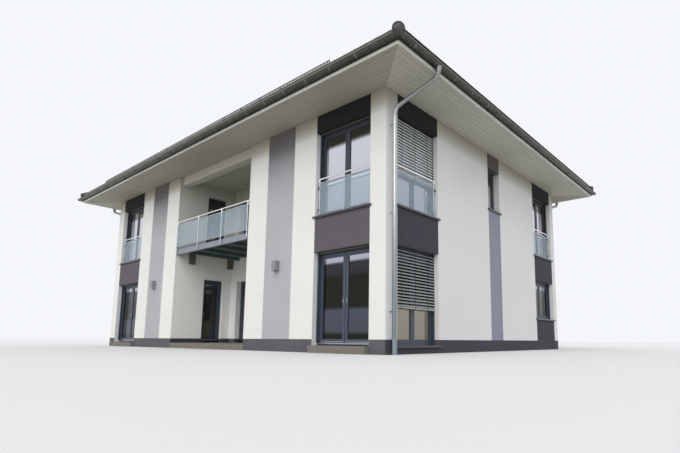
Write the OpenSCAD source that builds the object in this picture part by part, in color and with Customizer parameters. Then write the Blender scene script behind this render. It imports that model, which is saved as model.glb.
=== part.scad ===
// Detached two-storey house with corner bays, a recessed loggia and a hipped roof.
// Millimetres, +Z up. Origin: middle of the plan at ground level, front facade towards -Y.

/* [Front and rear facade] */
// Width of the corner piers on the front and rear facade
front_pier = 460; // [380:5:700]
// Width of the corner bays on the front and rear facade
front_bay = 1805; // [1500:5:2200]
// Width of each white wall field beside a grey stripe
front_field = 845; // [600:5:1200]
// Width of the grey render stripes
front_stripe = 1130; // [700:5:1500]
// Width of the loggia between its side walls
loggia_width = 4210; // [3900:5:5200]
// Depth of the loggia behind the front wall face
loggia_depth = 2190; // [2100:5:2600]

/* [Side facades] */
// Pier between the front corner and the front side bay
side_pier_front = 400; // [380:5:600]
// Pier between the rear side bay and the rear corner
side_pier_rear = 330; // [320:5:600]
// Width of the two bays on each side facade
side_bay = 1650; // [1400:5:2000]
// White wall field behind the front side bay
side_field_front = 2740; // [2200:5:3400]
// White wall field before the rear side bay
side_field_rear = 2630; // [2200:5:3400]
// Width of the narrow window and its stripe
narrow_bay = 750; // [600:5:1000]

/* [Levels] */
// Top of the dark plinth band above ground
plinth_top = 315; // [280:5:450]
// Ground floor level above ground
ground_floor_top = 170; // [120:5:200]
// Underside of the dark panels between the storeys
storey_panel_bottom = 2410; // [2300:5:2600]
// Top of the dark panels between the storeys
storey_panel_top = 3285; // [3150:5:3500]
// Underside of the eaves and top of the walls
soffit_level = 5915; // [5850:5:6300]
// Height of the blind boxes of the upper storey
blind_box_height = 455; // [300:5:600]
// Sill level of the short windows on the ground floor
short_sill = 1060; // [800:5:1300]
// Sill level of the narrow windows
narrow_sill = 4180; // [3900:5:4400]

/* [Walls and floors] */
// Thickness of the outer walls
wall_thickness = 365; // [300:5:450]
// Thickness of the loggia side walls
loggia_wall_thickness = 240; // [200:5:300]
// Thickness of the upper floor
upper_floor_thickness = 260; // [180:5:350]
// Step from the upper floor up to the window sills
upper_floor_drop = 55; // [20:5:120]
// Thickness of the slab over the upper storey
ceiling_thickness = 200; // [150:5:260]

/* [Roof] */
// Eaves overhang on the front and rear
eaves_front = 1045; // [800:5:1300]
// Eaves overhang on the two sides
eaves_side = 1140; // [800:5:1400]
// Pitch of the roof slopes in degrees
roof_pitch = 22; // [15:1:30]
// Thickness of the roof slopes, measured upright
roof_thickness = 260; // [180:5:320]
// Thickness of the soffit boarding
soffit_thickness = 20; // [15:1:40]
// Thickness of the fascia boards
fascia_thickness = 25; // [18:1:40]
// Height of the fascia boards
fascia_height = 55; // [50:5:160]
// Radius of the round hip and ridge caps
cap_radius = 128; // [100:2:150]
// Height of the cap axes above the roof slopes
cap_lift = 5; // [0:5:90]
// Distance of the hip cap ends past the roof edges, in plan
cap_overhang = 30; // [20:5:70]
// Width of the wall plates that carry the roof slopes
wall_plate_width = 160; // [120:10:240]
// Height of the snow guards above the slope
guard_height = 170; // [140:5:300]
// Distance of the snow guards from the roof edge, in plan
guard_in = 130; // [80:5:400]
// Distance of the snow guard ends from the roof corners
guard_end = 2035; // [600:5:3000]
// Radius of the snow guard pipes
guard_pipe = 14; // [10:1:20]
// Number of brackets on each snow guard
guard_brackets = 16; // [8:1:24]

/* [Rainwater] */
// Outside radius of the half-round gutters
gutter_radius = 70; // [60:1:100]
// Sheet of the gutters
gutter_sheet = 5; // [3:0.5:8]
// Thickness of the gutter brackets outside the sheet
hook_thickness = 6; // [4:0.5:8]
// Width of the gutter brackets
hook_width = 30; // [20:1:40]
// Number of gutter brackets on the front and on the rear
hooks_long = 20; // [10:1:26]
// Number of gutter brackets on each side
hooks_short = 14; // [8:1:20]
// Radius of the downpipes
downpipe_radius = 50; // [38:1:60]
// Radius of the standpipes at the foot of the downpipes
standpipe_radius = 62; // [60:1:75]
// Height of the standpipes
standpipe_height = 330; // [250:10:900]
// Drop of the gutter rims below the upper edge of the roof slopes
gutter_drop = 185; // [140:5:220]
// Distance of the downpipe axis from the wall face
downpipe_offset = 90; // [75:5:130]

/* [Windows and doors] */
// Depth of the reveals outside the frames
reveal = 190; // [120:5:220]
// Width of the frame bars seen from outside
frame_face = 60; // [45:1:80]
// Depth of the frame bars
frame_depth = 80; // [60:1:100]
// Width of the sash bars seen from outside
sash_face = 70; // [50:1:90]
// Depth of the sash bars
sash_depth = 68; // [50:1:80]
// Thickness of the glass units
glass_thickness = 28; // [20:1:40]
// Gap round a moving door leaf
leaf_gap = 6; // [5:0.5:10]
// Gap between two moving door leaves
leaf_meeting_gap = 15; // [15:0.5:20]
// Outside radius of the door hinges
hinge_radius = 9; // [7:0.5:10]
// Radius of the hinge pins
hinge_pin_radius = 4; // [3:0.5:5]
// Height of the hinge barrels on the door leaves
hinge_barrel = 70; // [50:5:100]
// Distance of the hinge axis behind the inner face of the frames
hinge_stand = 11; // [11:0.5:14]
// Distance of the hinges from the ends of the door leaves
hinge_inset = 220; // [120:10:400]
// Clear width of the glazed doors in the loggia side walls
loggia_door_width = 770; // [700:5:1000]
// Distance of those doors behind the front wall face
loggia_door_back = 1090; // [950:5:1200]
// Width of the wall beside the glazing in the loggia rear wall
loggia_side_pier = 355; // [250:5:600]
// Overhang of the metal sills past the wall face
sill_overhang = 45; // [20:5:80]
// Thickness of the metal sills
sill_thickness = 30; // [15:1:45]
// Length of the sills past each side of a bay
sill_ear = 50; // [20:1:60]
// Thickness of the lowered blinds
blind_thickness = 16; // [10:1:25]
// Gap between the lowered blinds and the frames
blind_gap = 40; // [25:1:80]
// Height of the blind bottom rails
blind_rail = 45; // [30:1:70]
// Bottom of the lowered upper blinds
upper_blind_bottom = 4020; // [3700:5:4600]
// Bottom of the lowered ground floor blinds
ground_blind_bottom = 1020; // [600:5:1800]

/* [Balcony and railings] */
// Height of the railings above the upper sill level
railing_height = 1000; // [900:5:1100]
// Radius of the handrails
handrail_radius = 21; // [18:0.5:28]
// Radius of the thin rails and the end posts
thin_rail_radius = 14; // [8:0.5:16]
// Drop from the handrail axis to the rail below it
second_rail_drop = 105; // [80:5:160]
// Distance of the bay railing posts from the jambs
post_from_jamb = 60; // [40:1:120]
// Distance of the bay railings behind the wall face
railing_set_back = 85; // [60:5:120]
// Thickness of the railing glass
railing_glass = 12; // [8:1:20]
// Height of the balcony edge channel
channel_height = 170; // [140:5:240]
// Flange width of the balcony edge channel
channel_flange = 75; // [50:5:100]
// Metal thickness of the balcony edge channel
channel_web = 10; // [6:1:14]
// Underside of the balcony edge channel above ground
channel_bottom = 3145; // [3100:5:3250]
// Number of balcony joists
joist_count = 5; // [3:1:8]
// Width of the balcony joists
joist_width = 80; // [60:5:120]
// Height of the balcony joists
joist_height = 100; // [80:5:120]
// Thickness of the balcony floor plate
balcony_plate = 30; // [20:1:40]
// Height of the box brackets under the balcony
bracket_height = 400; // [200:5:450]
// Width of the box brackets along the wall
bracket_width = 210; // [160:5:300]
// Reach of the box brackets from the wall, at the top
bracket_reach = 110; // [80:5:200]
// Reach of the box brackets from the wall, at the foot
bracket_foot = 65; // [40:5:75]
// Distance of the front box brackets behind the front wall face
bracket_front = 470; // [380:5:600]
// Gap between the rear box brackets and the rear wall of the loggia
bracket_back_gap = 10; // [5:5:40]

/* [Lights and steps] */
// Width of the wall lights
light_width = 158; // [100:2:220]
// Depth of the wall lights from the wall face
light_depth = 135; // [80:5:180]
// Height of the wall lights
light_height = 265; // [200:5:350]
// Bottom of the wall lights above ground
light_bottom = 2075; // [1800:5:2200]
// Reach of the stone steps in front of the glazed doors
step_reach = 130; // [80:5:300]

/* [Hidden] */
$fn = 48;

// Whole plan, from the facade widths
house_width = 2 * (front_pier + front_bay + 2 * front_field + front_stripe) + loggia_width;
house_depth = side_pier_front + 2 * side_bay + side_field_front + narrow_bay + side_field_rear + side_pier_rear;
half_w = house_width / 2;
half_d = house_depth / 2;
half_loggia = loggia_width / 2;
loggia_back = -half_d + loggia_depth;

// Bays of each facade as [middle, width], seen from outside, left to right
front_bay_x = half_w - front_pier - front_bay / 2;
side_front_bay_x = -half_d + side_pier_front + side_bay / 2;
side_rear_bay_x = half_d - side_pier_rear - side_bay / 2;
narrow_x = -half_d + side_pier_front + side_bay + side_field_front + narrow_bay / 2;
stripe_x = half_loggia + front_field + front_stripe / 2;

loggia_window_width = loggia_width - 2 * loggia_side_pier;
loggia_back_pier = half_loggia + loggia_wall_thickness - loggia_window_width / 2;
loggia_reveal = loggia_wall_thickness - frame_depth - hinge_stand - hinge_radius;
loggia_back_leaf = loggia_window_width / 4;

// Storey levels
blind_box_bottom = soffit_level - blind_box_height;
upper_floor_top = storey_panel_top - upper_floor_drop;
loggia_head = blind_box_bottom;

// Roof sizes
slope = tan(roof_pitch);
eave_x = half_w + eaves_side;
eave_y = half_d + eaves_front;
roof_x = eave_x + fascia_thickness;
roof_y = eave_y + fascia_thickness;
fascia_bottom = soffit_level - 10;
roof_eave_z = fascia_bottom + fascia_height + roof_thickness;
ridge_half = roof_x - roof_y;
ridge_z = roof_eave_z + roof_y * slope;
mitre_gap = 2;
// Gap between pieces that fit together
fit_gap = 0.3;

// Gutter and pipes
gutter_gap = 8;
gutter_z = roof_eave_z - gutter_drop;
pipe_from_corner = 140;
outlet_from_corner = 200;
rear_pipe_from_corner = 230;
pipe_upper_bend = 130;
pipe_lower_bend = 480;
pipe_bracket_z = [900, 3050, 5050];

// Facade frames: local X runs left to right seen from outside, local Y goes into the wall
module on_front() { translate([0, -half_d, 0]) children(); }
module on_rear() { translate([0, half_d, 0]) rotate([0, 0, 180]) children(); }
module on_right() { translate([half_w, 0, 0]) rotate([0, 0, 90]) children(); }
module on_left() { translate([-half_w, 0, 0]) rotate([0, 0, -90]) children(); }
module on_both_sides_mirrored() {
    on_right() children();
    mirror([1, 0, 0]) on_right() children();
}
module on_loggia_back() { translate([0, loggia_back, 0]) children(); }
// Local X 0 is the middle of the side door, local Y goes into the side wall
module on_loggia_sides() {
    for (s = [0, 1]) mirror([s, 0, 0])
        translate([-half_loggia, -half_d + loggia_door_back + loggia_door_width / 2, 0])
            rotate([0, 0, 90]) children();
}

// Upright slab on a facade from its middle, width and levels
module slab(middle, width, z0, z1, y0 = 0, y1 = wall_thickness) {
    translate([middle - width / 2, y0, z0]) cube([width, y1 - y0, z1 - z0]);
}

// All wide bays of the house
module at_wide_bays() {
    on_front() for (s = [-1, 1]) translate([s * front_bay_x, 0, 0]) bay_of(front_bay) children();
    on_rear() for (x = [-front_bay_x, 0, front_bay_x]) translate([x, 0, 0]) bay_of(front_bay) children();
    on_both_sides_mirrored() for (x = [side_front_bay_x, side_rear_bay_x])
        translate([x, 0, 0]) bay_of(side_bay) children();
}
// Hands the bay width on to the shapes inside
module bay_of(w) { $bay = w; children(); }
module at_narrow_bays() { on_both_sides_mirrored() translate([narrow_x, 0, 0]) bay_of(narrow_bay) children(); }
module at_short_windows() {
    on_rear() for (x = [-front_bay_x, 0, front_bay_x]) translate([x, 0, 0]) bay_of(front_bay) children();
    on_both_sides_mirrored() translate([side_rear_bay_x, 0, 0]) bay_of(side_bay) children();
}
module at_tall_side_windows() {
    on_both_sides_mirrored() translate([side_front_bay_x, 0, 0]) bay_of(side_bay) children();
}
module at_front_doors() {
    on_front() for (s = [-1, 1]) translate([s * front_bay_x, 0, 0]) bay_of(front_bay) children();
}

// Floors
module floor_plan() {
    difference() {
        square([house_width - 2 * wall_thickness, house_depth - 2 * wall_thickness], center = true);
        translate([-half_loggia - loggia_wall_thickness, -half_d])
            square([loggia_width + 2 * loggia_wall_thickness, loggia_depth + wall_thickness]);
        for (sx = [0, 1]) mirror([sx, 0]) {
            translate([half_w - front_pier, -half_d]) square([front_pier, side_pier_front]);
            translate([half_w - front_pier, half_d - side_pier_rear]) square([front_pier, side_pier_rear]);
        }
    }
}
module ground_floor() { color("gainsboro") linear_extrude(ground_floor_top) floor_plan(); }
module upper_floor() {
    color("gainsboro") translate([0, 0, upper_floor_top - upper_floor_thickness])
        linear_extrude(upper_floor_thickness) floor_plan();
}
module ceiling_slab() {
    color("whitesmoke") translate([-half_w, -half_d, soffit_level])
        cube([house_width, house_depth, ceiling_thickness]);
}

// Walls
module corner_piers() {
    height = soffit_level - plinth_top;
    color("whitesmoke") for (sx = [0, 1]) mirror([sx, 0, 0]) {
        translate([half_w - front_pier, -half_d, plinth_top]) cube([front_pier, side_pier_front, height]);
        translate([half_w - front_pier, half_d - side_pier_rear, plinth_top])
            cube([front_pier, side_pier_rear, height]);
    }
}
module front_wall() {
    color("whitesmoke") on_front() for (s = [-1, 1]) {
        slab(s * (half_loggia + front_field / 2), front_field, plinth_top, soffit_level);
        slab(s * (half_loggia + 1.5 * front_field + front_stripe), front_field, plinth_top, soffit_level);
    }
}
module rear_wall() {
    inner = (stripe_x - front_stripe / 2) - front_bay / 2;
    color("whitesmoke") on_rear() for (s = [-1, 1]) {
        slab(s * (front_bay / 2 + inner / 2), inner, plinth_top, soffit_level);
        slab(s * (half_loggia + 1.5 * front_field + front_stripe), front_field, plinth_top, soffit_level);
    }
}
module side_walls() {
    color("whitesmoke") on_both_sides_mirrored() {
        slab(narrow_x - narrow_bay / 2 - side_field_front / 2, side_field_front, plinth_top, soffit_level);
        slab(narrow_x + narrow_bay / 2 + side_field_rear / 2, side_field_rear, plinth_top, soffit_level);
    }
}
module grey_stripes() {
    color("#b4b2b7") {
        on_front() for (s = [-1, 1]) slab(s * stripe_x, front_stripe, plinth_top, soffit_level);
        on_rear() for (s = [-1, 1]) slab(s * stripe_x, front_stripe, plinth_top, soffit_level);
        on_both_sides_mirrored() {
            slab(narrow_x, narrow_bay, plinth_top, narrow_sill);
            slab(narrow_x, narrow_bay, blind_box_bottom, soffit_level);
        }
    }
}
module dark_panels() {
    color("#5f5a5f") {
        at_wide_bays() slab(0, $bay, storey_panel_bottom, storey_panel_top);
        at_short_windows() slab(0, $bay, plinth_top, short_sill);
        at_tall_side_windows() slab(0, $bay, 0, ground_floor_top);
    }
}
module blind_boxes() { color("#2a2526") at_wide_bays() slab(0, $bay, blind_box_bottom, soffit_level); }
module plinth_blocks() {
    color("#5f5b62") for (sx = [0, 1]) mirror([sx, 0, 0]) {
        translate([half_w - front_pier, -half_d, 0]) cube([front_pier, side_pier_front, plinth_top]);
        translate([half_w - front_pier, half_d - side_pier_rear, 0])
            cube([front_pier, side_pier_rear, plinth_top]);
        translate([half_loggia, -half_d + wall_thickness, 0])
            cube([loggia_wall_thickness, loggia_door_back - wall_thickness, plinth_top]);
        translate([half_loggia, -half_d + loggia_door_back + loggia_door_width, 0])
            cube([loggia_wall_thickness, loggia_depth - loggia_door_back - loggia_door_width, plinth_top]);
    }
}
module plinth_runs() {
    run = front_field * 2 + front_stripe;
    side_end = half_d - side_pier_rear;
    side_run = side_end - (narrow_x - narrow_bay / 2 - side_field_front);
    color("#5f5b62") {
        on_front() for (s = [-1, 1]) slab(s * (half_loggia + run / 2), run, 0, plinth_top);
        on_rear() slab(0, house_width - 2 * front_pier, 0, plinth_top);
        on_both_sides_mirrored() slab(side_end - side_run / 2, side_run, 0, plinth_top);
        on_loggia_back() for (s = [-1, 1])
            slab(s * (loggia_window_width / 2 + loggia_back_pier / 2), loggia_back_pier, 0, plinth_top);
    }
}

module loggia_side_walls() {
    near = loggia_door_back - wall_thickness;
    rest = loggia_depth - loggia_door_back - loggia_door_width;
    color("whitesmoke") on_loggia_sides() {
        slab(-(loggia_door_width + near) / 2, near, plinth_top, soffit_level, 0, loggia_wall_thickness);
        slab((loggia_door_width + rest) / 2, rest, plinth_top, soffit_level, 0, loggia_wall_thickness);
    }
}
module loggia_back_wall() {
    color("whitesmoke") on_loggia_back() for (s = [-1, 1])
        slab(s * (loggia_window_width / 2 + loggia_back_pier / 2), loggia_back_pier, plinth_top, soffit_level);
}
module loggia_lintels() {
    color("whitesmoke") {
        on_loggia_sides() {
            slab(0, loggia_door_width, storey_panel_bottom, storey_panel_top, 0, loggia_wall_thickness);
            slab(0, loggia_door_width, loggia_head, soffit_level, 0, loggia_wall_thickness);
        }
        on_loggia_back() {
            slab(0, loggia_window_width, storey_panel_bottom, storey_panel_top);
            slab(0, loggia_window_width, loggia_head, soffit_level);
        }
        // Beam over the mouth of the loggia, set back from the wall face
        on_front() slab(0, loggia_width, soffit_level - 290, soffit_level, 95, wall_thickness);
    }
}

// Windows: a frame round the opening, sashes in it and glass in the sashes
module window_frame(w, z0, z1, y = reveal) {
    translate([0, y, 0]) difference() {
        translate([-w / 2, 0, z0]) cube([w, frame_depth, z1 - z0]);
        translate([-w / 2 + frame_face, -1, z0 + frame_face])
            cube([w - 2 * frame_face, frame_depth + 2, z1 - z0 - 2 * frame_face]);
    }
}
module sash(w, z0, z1, y) {
    translate([0, y + (frame_depth - sash_depth) / 2, 0]) difference() {
        translate([-w / 2, 0, z0]) cube([w, sash_depth, z1 - z0]);
        translate([-w / 2 + sash_face, -1, z0 + sash_face])
            cube([w - 2 * sash_face, sash_depth + 2, z1 - z0 - 2 * sash_face]);
    }
}
module pane(w, z0, z1, y) {
    translate([-w / 2 + sash_face, y + (frame_depth - glass_thickness) / 2, z0 + sash_face])
        cube([w - 2 * sash_face, glass_thickness, z1 - z0 - 2 * sash_face]);
}
// Places count sashes side by side between the frame bars
module in_sashes(w, count) {
    inner = w - 2 * frame_face;
    step = inner / count;
    for (i = [0 : count - 1]) translate([-inner / 2 + step * (i + 0.5), 0, 0]) {
        $leaf = step - (count > 1 ? 4 : 0);
        children();
    }
}
module all_windows(kind) {
    at_wide_bays() one_window(kind, $bay, storey_panel_top, blind_box_bottom, 2, reveal);
    at_narrow_bays() one_window(kind, $bay, narrow_sill, blind_box_bottom, 1, reveal);
    at_short_windows() one_window(kind, $bay, short_sill, storey_panel_bottom, 2, reveal);
    at_tall_side_windows() one_window(kind, $bay, ground_floor_top, storey_panel_bottom, 2, reveal);
    on_loggia_sides() one_window(kind, loggia_door_width, storey_panel_top, loggia_head, 1, loggia_reveal);
    on_loggia_back() one_window(kind, loggia_window_width, storey_panel_top, loggia_head, 4, reveal);
    // The fixed glazing opposite the loggia side door
    mirror([1, 0, 0]) loggia_left_door_place()
        one_window(kind, loggia_door_width, ground_floor_top, storey_panel_bottom, 1, loggia_reveal);
    // The three fixed lights beside the loggia rear door
    fixed = loggia_window_width - loggia_back_leaf;
    on_loggia_back() translate([loggia_back_leaf / 2, 0, 0])
        one_window(kind, fixed, ground_floor_top, storey_panel_bottom, 3, reveal);
}
module loggia_left_door_place() {
    translate([-half_loggia, -half_d + loggia_door_back + loggia_door_width / 2, 0])
        rotate([0, 0, 90]) children();
}
module one_window(kind, w, z0, z1, count, y) {
    if (kind == "frame") window_frame(w, z0, z1, y);
    if (kind == "sash") in_sashes(w, count) sash($leaf, z0 + frame_face, z1 - frame_face, y);
    if (kind == "glass") in_sashes(w, count) pane($leaf, z0 + frame_face, z1 - frame_face, y);
}
module window_frames() { color("#383e42") all_windows("frame"); }
module window_sashes() { color("#3b4146") all_windows("sash"); }
module window_glass() { color("#9fb4c0", 0.5) all_windows("glass"); }

// Sill: sheet with a front drip and end caps
module sill(w, z) {
    translate([0, 0, z]) union() {
        translate([-w / 2, -sill_overhang, 0]) cube([w, sill_overhang + reveal, sill_thickness / 2]);
        translate([-w / 2 - sill_ear, -sill_overhang, -sill_thickness])
            cube([w + 2 * sill_ear, sill_overhang, sill_thickness * 1.5]);
    }
}
module window_sills() {
    color("#2b2c30") {
        at_wide_bays() sill($bay, storey_panel_top);
        at_narrow_bays() sill($bay, narrow_sill);
        at_short_windows() sill($bay, short_sill);
        at_tall_side_windows() sill($bay, ground_floor_top);
    }
}
// Lowered blinds of the front bays on both sides
module blind(w, bottom, top) {
    y = reveal - blind_gap - blind_thickness;
    union() {
        translate([-w / 2 + 5, y, bottom + blind_rail])
            cube([w - 10, blind_thickness, top - bottom - blind_rail]);
        translate([-w / 2 + 5, y - 4, bottom]) cube([w - 10, blind_thickness + 8, blind_rail]);
    }
}
module roller_blinds() {
    color("#8b8f93") at_tall_side_windows() {
        blind($bay, upper_blind_bottom, blind_box_bottom);
        blind($bay, ground_blind_bottom, storey_panel_bottom);
    }
}

// Glazed doors of the ground floor
door_bottom = ground_floor_top + frame_face;
door_top = storey_panel_bottom - frame_face;
leaf_z0 = door_bottom + leaf_gap;
leaf_z1 = door_top - leaf_gap;
module jambs(w, y, hung) {
    for (s = [-1, 1]) union() {
        translate([s * (w - frame_face) / 2 - frame_face / 2, y, door_bottom])
            cube([frame_face, frame_depth, door_top - door_bottom]);
        for (h = hung) if (h == s) at_hinges(w / 2 - frame_face - leaf_gap / 2, y, s) jamb_hinge();
    }
}
// Hinge axes: local X points from the jamb to the leaf, Z 0 is the foot of the leaf's barrel
module at_hinges(x, y, s) {
    for (z = [leaf_z0 + hinge_inset, leaf_z1 - hinge_inset - hinge_barrel])
        translate([s * x, y + frame_depth + hinge_stand, z]) mirror([s > 0 ? 1 : 0, 0, 0]) children();
}
hinge_plate = [38, 6];
hinge_foot = 26;
hinge_edge = leaf_gap / 2 + 1;
hinge_web = [hinge_edge, hinge_radius - 1];
// Barrel on the leaf, with a bore for the pin and a plate on the leaf's inner face
module leaf_hinge() {
    back = hinge_stand + (frame_depth - sash_depth) / 2;
    difference() {
        union() {
            cylinder(r = hinge_radius, h = hinge_barrel);
            translate([hinge_web[0], -back, 0]) cube([hinge_web[1] - hinge_web[0], back, hinge_barrel]);
            translate([hinge_edge, -back - 1, 0]) cube([hinge_plate[0], hinge_plate[1] + 1, hinge_barrel]);
        }
        translate([0, 0, -1]) cylinder(r = hinge_pin_radius + fit_gap, h = hinge_barrel + 2);
    }
}
// Foot on the jamb, with the pin that carries the leaf
module jamb_hinge() {
    translate([0, 0, -hinge_foot - fit_gap]) union() {
        cylinder(r = hinge_radius, h = hinge_foot);
        translate([0, 0, 2]) cylinder(r = hinge_pin_radius, h = hinge_foot + hinge_barrel + 4);
        translate([-hinge_web[1], -hinge_stand, 0])
            cube([hinge_web[1] - hinge_web[0], hinge_stand, hinge_foot]);
        translate([-hinge_edge - hinge_plate[0], -hinge_stand - 1, 0])
            cube([hinge_plate[0], hinge_plate[1] + 1, hinge_foot]);
    }
}
module head_bar(w, y) { translate([-w / 2, y, door_top]) cube([w, frame_depth, frame_face]); }
module threshold(w, y) {
    translate([-w / 2, y - 15, ground_floor_top]) cube([w, frame_depth + 15, frame_face]);
}
module every_door(kind) {
    at_front_doors() door_part(kind, $bay, reveal, [-1, 1]);
    loggia_left_door_place() door_part(kind, loggia_door_width, loggia_reveal, [1]);
    back_door_place() door_part(kind, loggia_back_leaf, reveal, [-1]);
}
// hung lists the sides that carry a leaf
module door_part(kind, w, y, hung) {
    if (kind == "jambs") jambs(w, y, hung);
    if (kind == "head") head_bar(w, y);
    if (kind == "threshold") threshold(w, y);
}
module door_jambs() { color("#383e42") every_door("jambs"); }
module door_heads() { color("#383e42") every_door("head"); }
module door_thresholds() { color("#b9bec4") every_door("threshold"); }

pair_leaf = (front_bay - 2 * frame_face - 2 * leaf_gap - leaf_meeting_gap) / 2;
side_leaf = loggia_door_width - 2 * frame_face - 2 * leaf_gap;
back_leaf = loggia_back_leaf - 2 * frame_face - 2 * leaf_gap;
// Leaf a hangs on the left seen from outside, leaf b on the right
module pair_place(sign, s) {
    on_front() translate([sign * front_bay_x + s * (leaf_meeting_gap / 2 + pair_leaf / 2), 0, 0]) children();
}
// s is the side of the hinges
module leaf_frame(w, y, s) {
    color("#383e42") union() {
        sash(w, leaf_z0, leaf_z1, y);
        at_hinges(w / 2 + leaf_gap / 2, y, s) leaf_hinge();
    }
}
module leaf_pane(w, y) { color("#9fb4c0", 0.5) pane(w, leaf_z0, leaf_z1, y); }
module right_door_leaf_a() { pair_place(1, -1) leaf_frame(pair_leaf, reveal, -1); }
module right_door_glass_a() { pair_place(1, -1) leaf_pane(pair_leaf, reveal); }
module right_door_leaf_b() { pair_place(1, 1) leaf_frame(pair_leaf, reveal, 1); }
module right_door_glass_b() { pair_place(1, 1) leaf_pane(pair_leaf, reveal); }
module left_door_leaf_a() { pair_place(-1, -1) leaf_frame(pair_leaf, reveal, -1); }
module left_door_glass_a() { pair_place(-1, -1) leaf_pane(pair_leaf, reveal); }
module left_door_leaf_b() { pair_place(-1, 1) leaf_frame(pair_leaf, reveal, 1); }
module left_door_glass_b() { pair_place(-1, 1) leaf_pane(pair_leaf, reveal); }
module loggia_side_door_leaf() { loggia_left_door_place() leaf_frame(side_leaf, loggia_reveal, 1); }
module loggia_side_door_glass() { loggia_left_door_place() leaf_pane(side_leaf, loggia_reveal); }
module back_door_place() {
    on_loggia_back() translate([(loggia_back_leaf - loggia_window_width) / 2, 0, 0]) children();
}
module loggia_back_door_leaf() { back_door_place() leaf_frame(back_leaf, reveal, -1); }
module loggia_back_door_glass() { back_door_place() leaf_pane(back_leaf, reveal); }

// Stone steps: one under each front door and the floor of the loggia
module door_steps() {
    color("#8d8b84") {
        at_front_doors() translate([-$bay / 2, -step_reach, 0])
            cube([$bay, step_reach + wall_thickness, ground_floor_top]);
        union() {
            translate([-half_loggia, -half_d, 0]) cube([loggia_width, loggia_depth, ground_floor_top]);
            translate([-loggia_window_width / 2, loggia_back - 1, 0])
                cube([loggia_window_width, wall_thickness + 1, ground_floor_top]);
            translate([-half_loggia - loggia_wall_thickness, -half_d + loggia_door_back, 0])
                cube([loggia_width + 2 * loggia_wall_thickness, loggia_door_width, ground_floor_top]);
        }
    }
}

// Balcony in the loggia: steel edge channel, joists, glass-like floor and box brackets
channel_y = 15;
module balcony_channel() {
    color("#98a0ad") on_front() translate([-half_loggia, channel_y, channel_bottom]) union() {
        cube([loggia_width, channel_web, channel_height]);
        cube([loggia_width, channel_flange, channel_web]);
        translate([0, 0, channel_height - channel_web]) cube([loggia_width, channel_flange, channel_web]);
    }
}
joist_y0 = channel_y + channel_flange;
joist_top = channel_bottom + channel_height - balcony_plate;
joist_z = joist_top - joist_height;
module balcony_joists() {
    color("#2f3d3c") on_front() for (i = [0 : joist_count - 1])
        translate([-half_loggia + (i + 0.5) * loggia_width / joist_count - joist_width / 2, joist_y0, joist_z])
            cube([joist_width, loggia_depth - joist_y0, joist_height]);
}
module balcony_floor() {
    color("#3a4b4a") on_front() translate([-half_loggia, joist_y0, joist_top])
        cube([loggia_width, loggia_depth - joist_y0, balcony_plate]);
}
bracket_y = [bracket_front, loggia_depth - bracket_back_gap - bracket_width];
module balcony_brackets() {
    color("#6b6560") for (sx = [0, 1]) mirror([sx, 0, 0]) on_front() for (y = bracket_y)
        translate([-half_loggia, y + bracket_width, joist_top - bracket_height]) rotate([90, 0, 0])
            linear_extrude(bracket_width) polygon([
                [0, 0], [bracket_foot, 0], [bracket_reach, bracket_height], [0, bracket_height]]);
}

// Railings: handrail, second rail, bottom rail, posts and glass clamps
rail_top_z = storey_panel_top + railing_height - handrail_radius;
sill_top = storey_panel_top + sill_thickness / 2;
module rail_x(x0, x1, y, z, r) { translate([x0, y, z]) rotate([0, 90, 0]) cylinder(r = r, h = x1 - x0); }
clamp_width = 44;
clamp_half = 18;
module clamp(x, y, z) {
    translate([x - clamp_width / 2, y - thin_rail_radius - 3, z - clamp_half])
        cube([clamp_width, 2 * thin_rail_radius + 6, 2 * clamp_half]);
}
module bay_railing(w) {
    y = railing_set_back;
    inner = w / 2;
    post_x = inner - post_from_jamb;
    low = sill_top + 60;
    high = rail_top_z - second_rail_drop;
    union() {
        rail_x(-post_x - 12, post_x + 12, y, rail_top_z, handrail_radius);
        rail_x(-post_x, post_x, y, high, thin_rail_radius);
        rail_x(-post_x, post_x, y, low, thin_rail_radius);
        for (s = [-1, 1]) {
            translate([s * post_x, y, low]) cylinder(r = thin_rail_radius - 1, h = rail_top_z - low);
            // Holders that carry the railing on the two jambs
            for (z = [low + 90, high - 60])
                translate([min(s * post_x, s * inner), y - 9, z - 15]) cube([post_from_jamb, 18, 30]);
        }
        for (z = [low, high]) clamp(0, y, z);
        translate([0, y, sill_top]) cylinder(r = thin_rail_radius - 1, h = low - sill_top);
    }
}
module balcony_post(x) {
    y = channel_y - 24;
    translate([x, y, channel_bottom + 30]) cylinder(r = 20, h = rail_top_z - channel_bottom - 30);
    translate([x - 32, y, channel_bottom + 30]) cube([64, channel_y - y, 110]);
}
post_count = 4;
post_step = (loggia_width - 110) / (post_count - 1);
balcony_post_x = [for (i = [0 : post_count - 1]) -half_loggia + 55 + i * post_step];
low_rail_z = channel_bottom + channel_height + 90;
module balcony_railing() {
    y = channel_y - 24;
    union() {
        rail_x(-half_loggia, half_loggia, y, rail_top_z, handrail_radius);
        rail_x(-half_loggia, half_loggia, y, rail_top_z - second_rail_drop, thin_rail_radius);
        rail_x(-half_loggia, half_loggia, y, low_rail_z, thin_rail_radius);
        for (x = balcony_post_x) balcony_post(x);
    }
}
module railings() {
    color("#c9ccd0") {
        at_wide_bays() bay_railing($bay);
        on_front() balcony_railing();
    }
}
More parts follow.
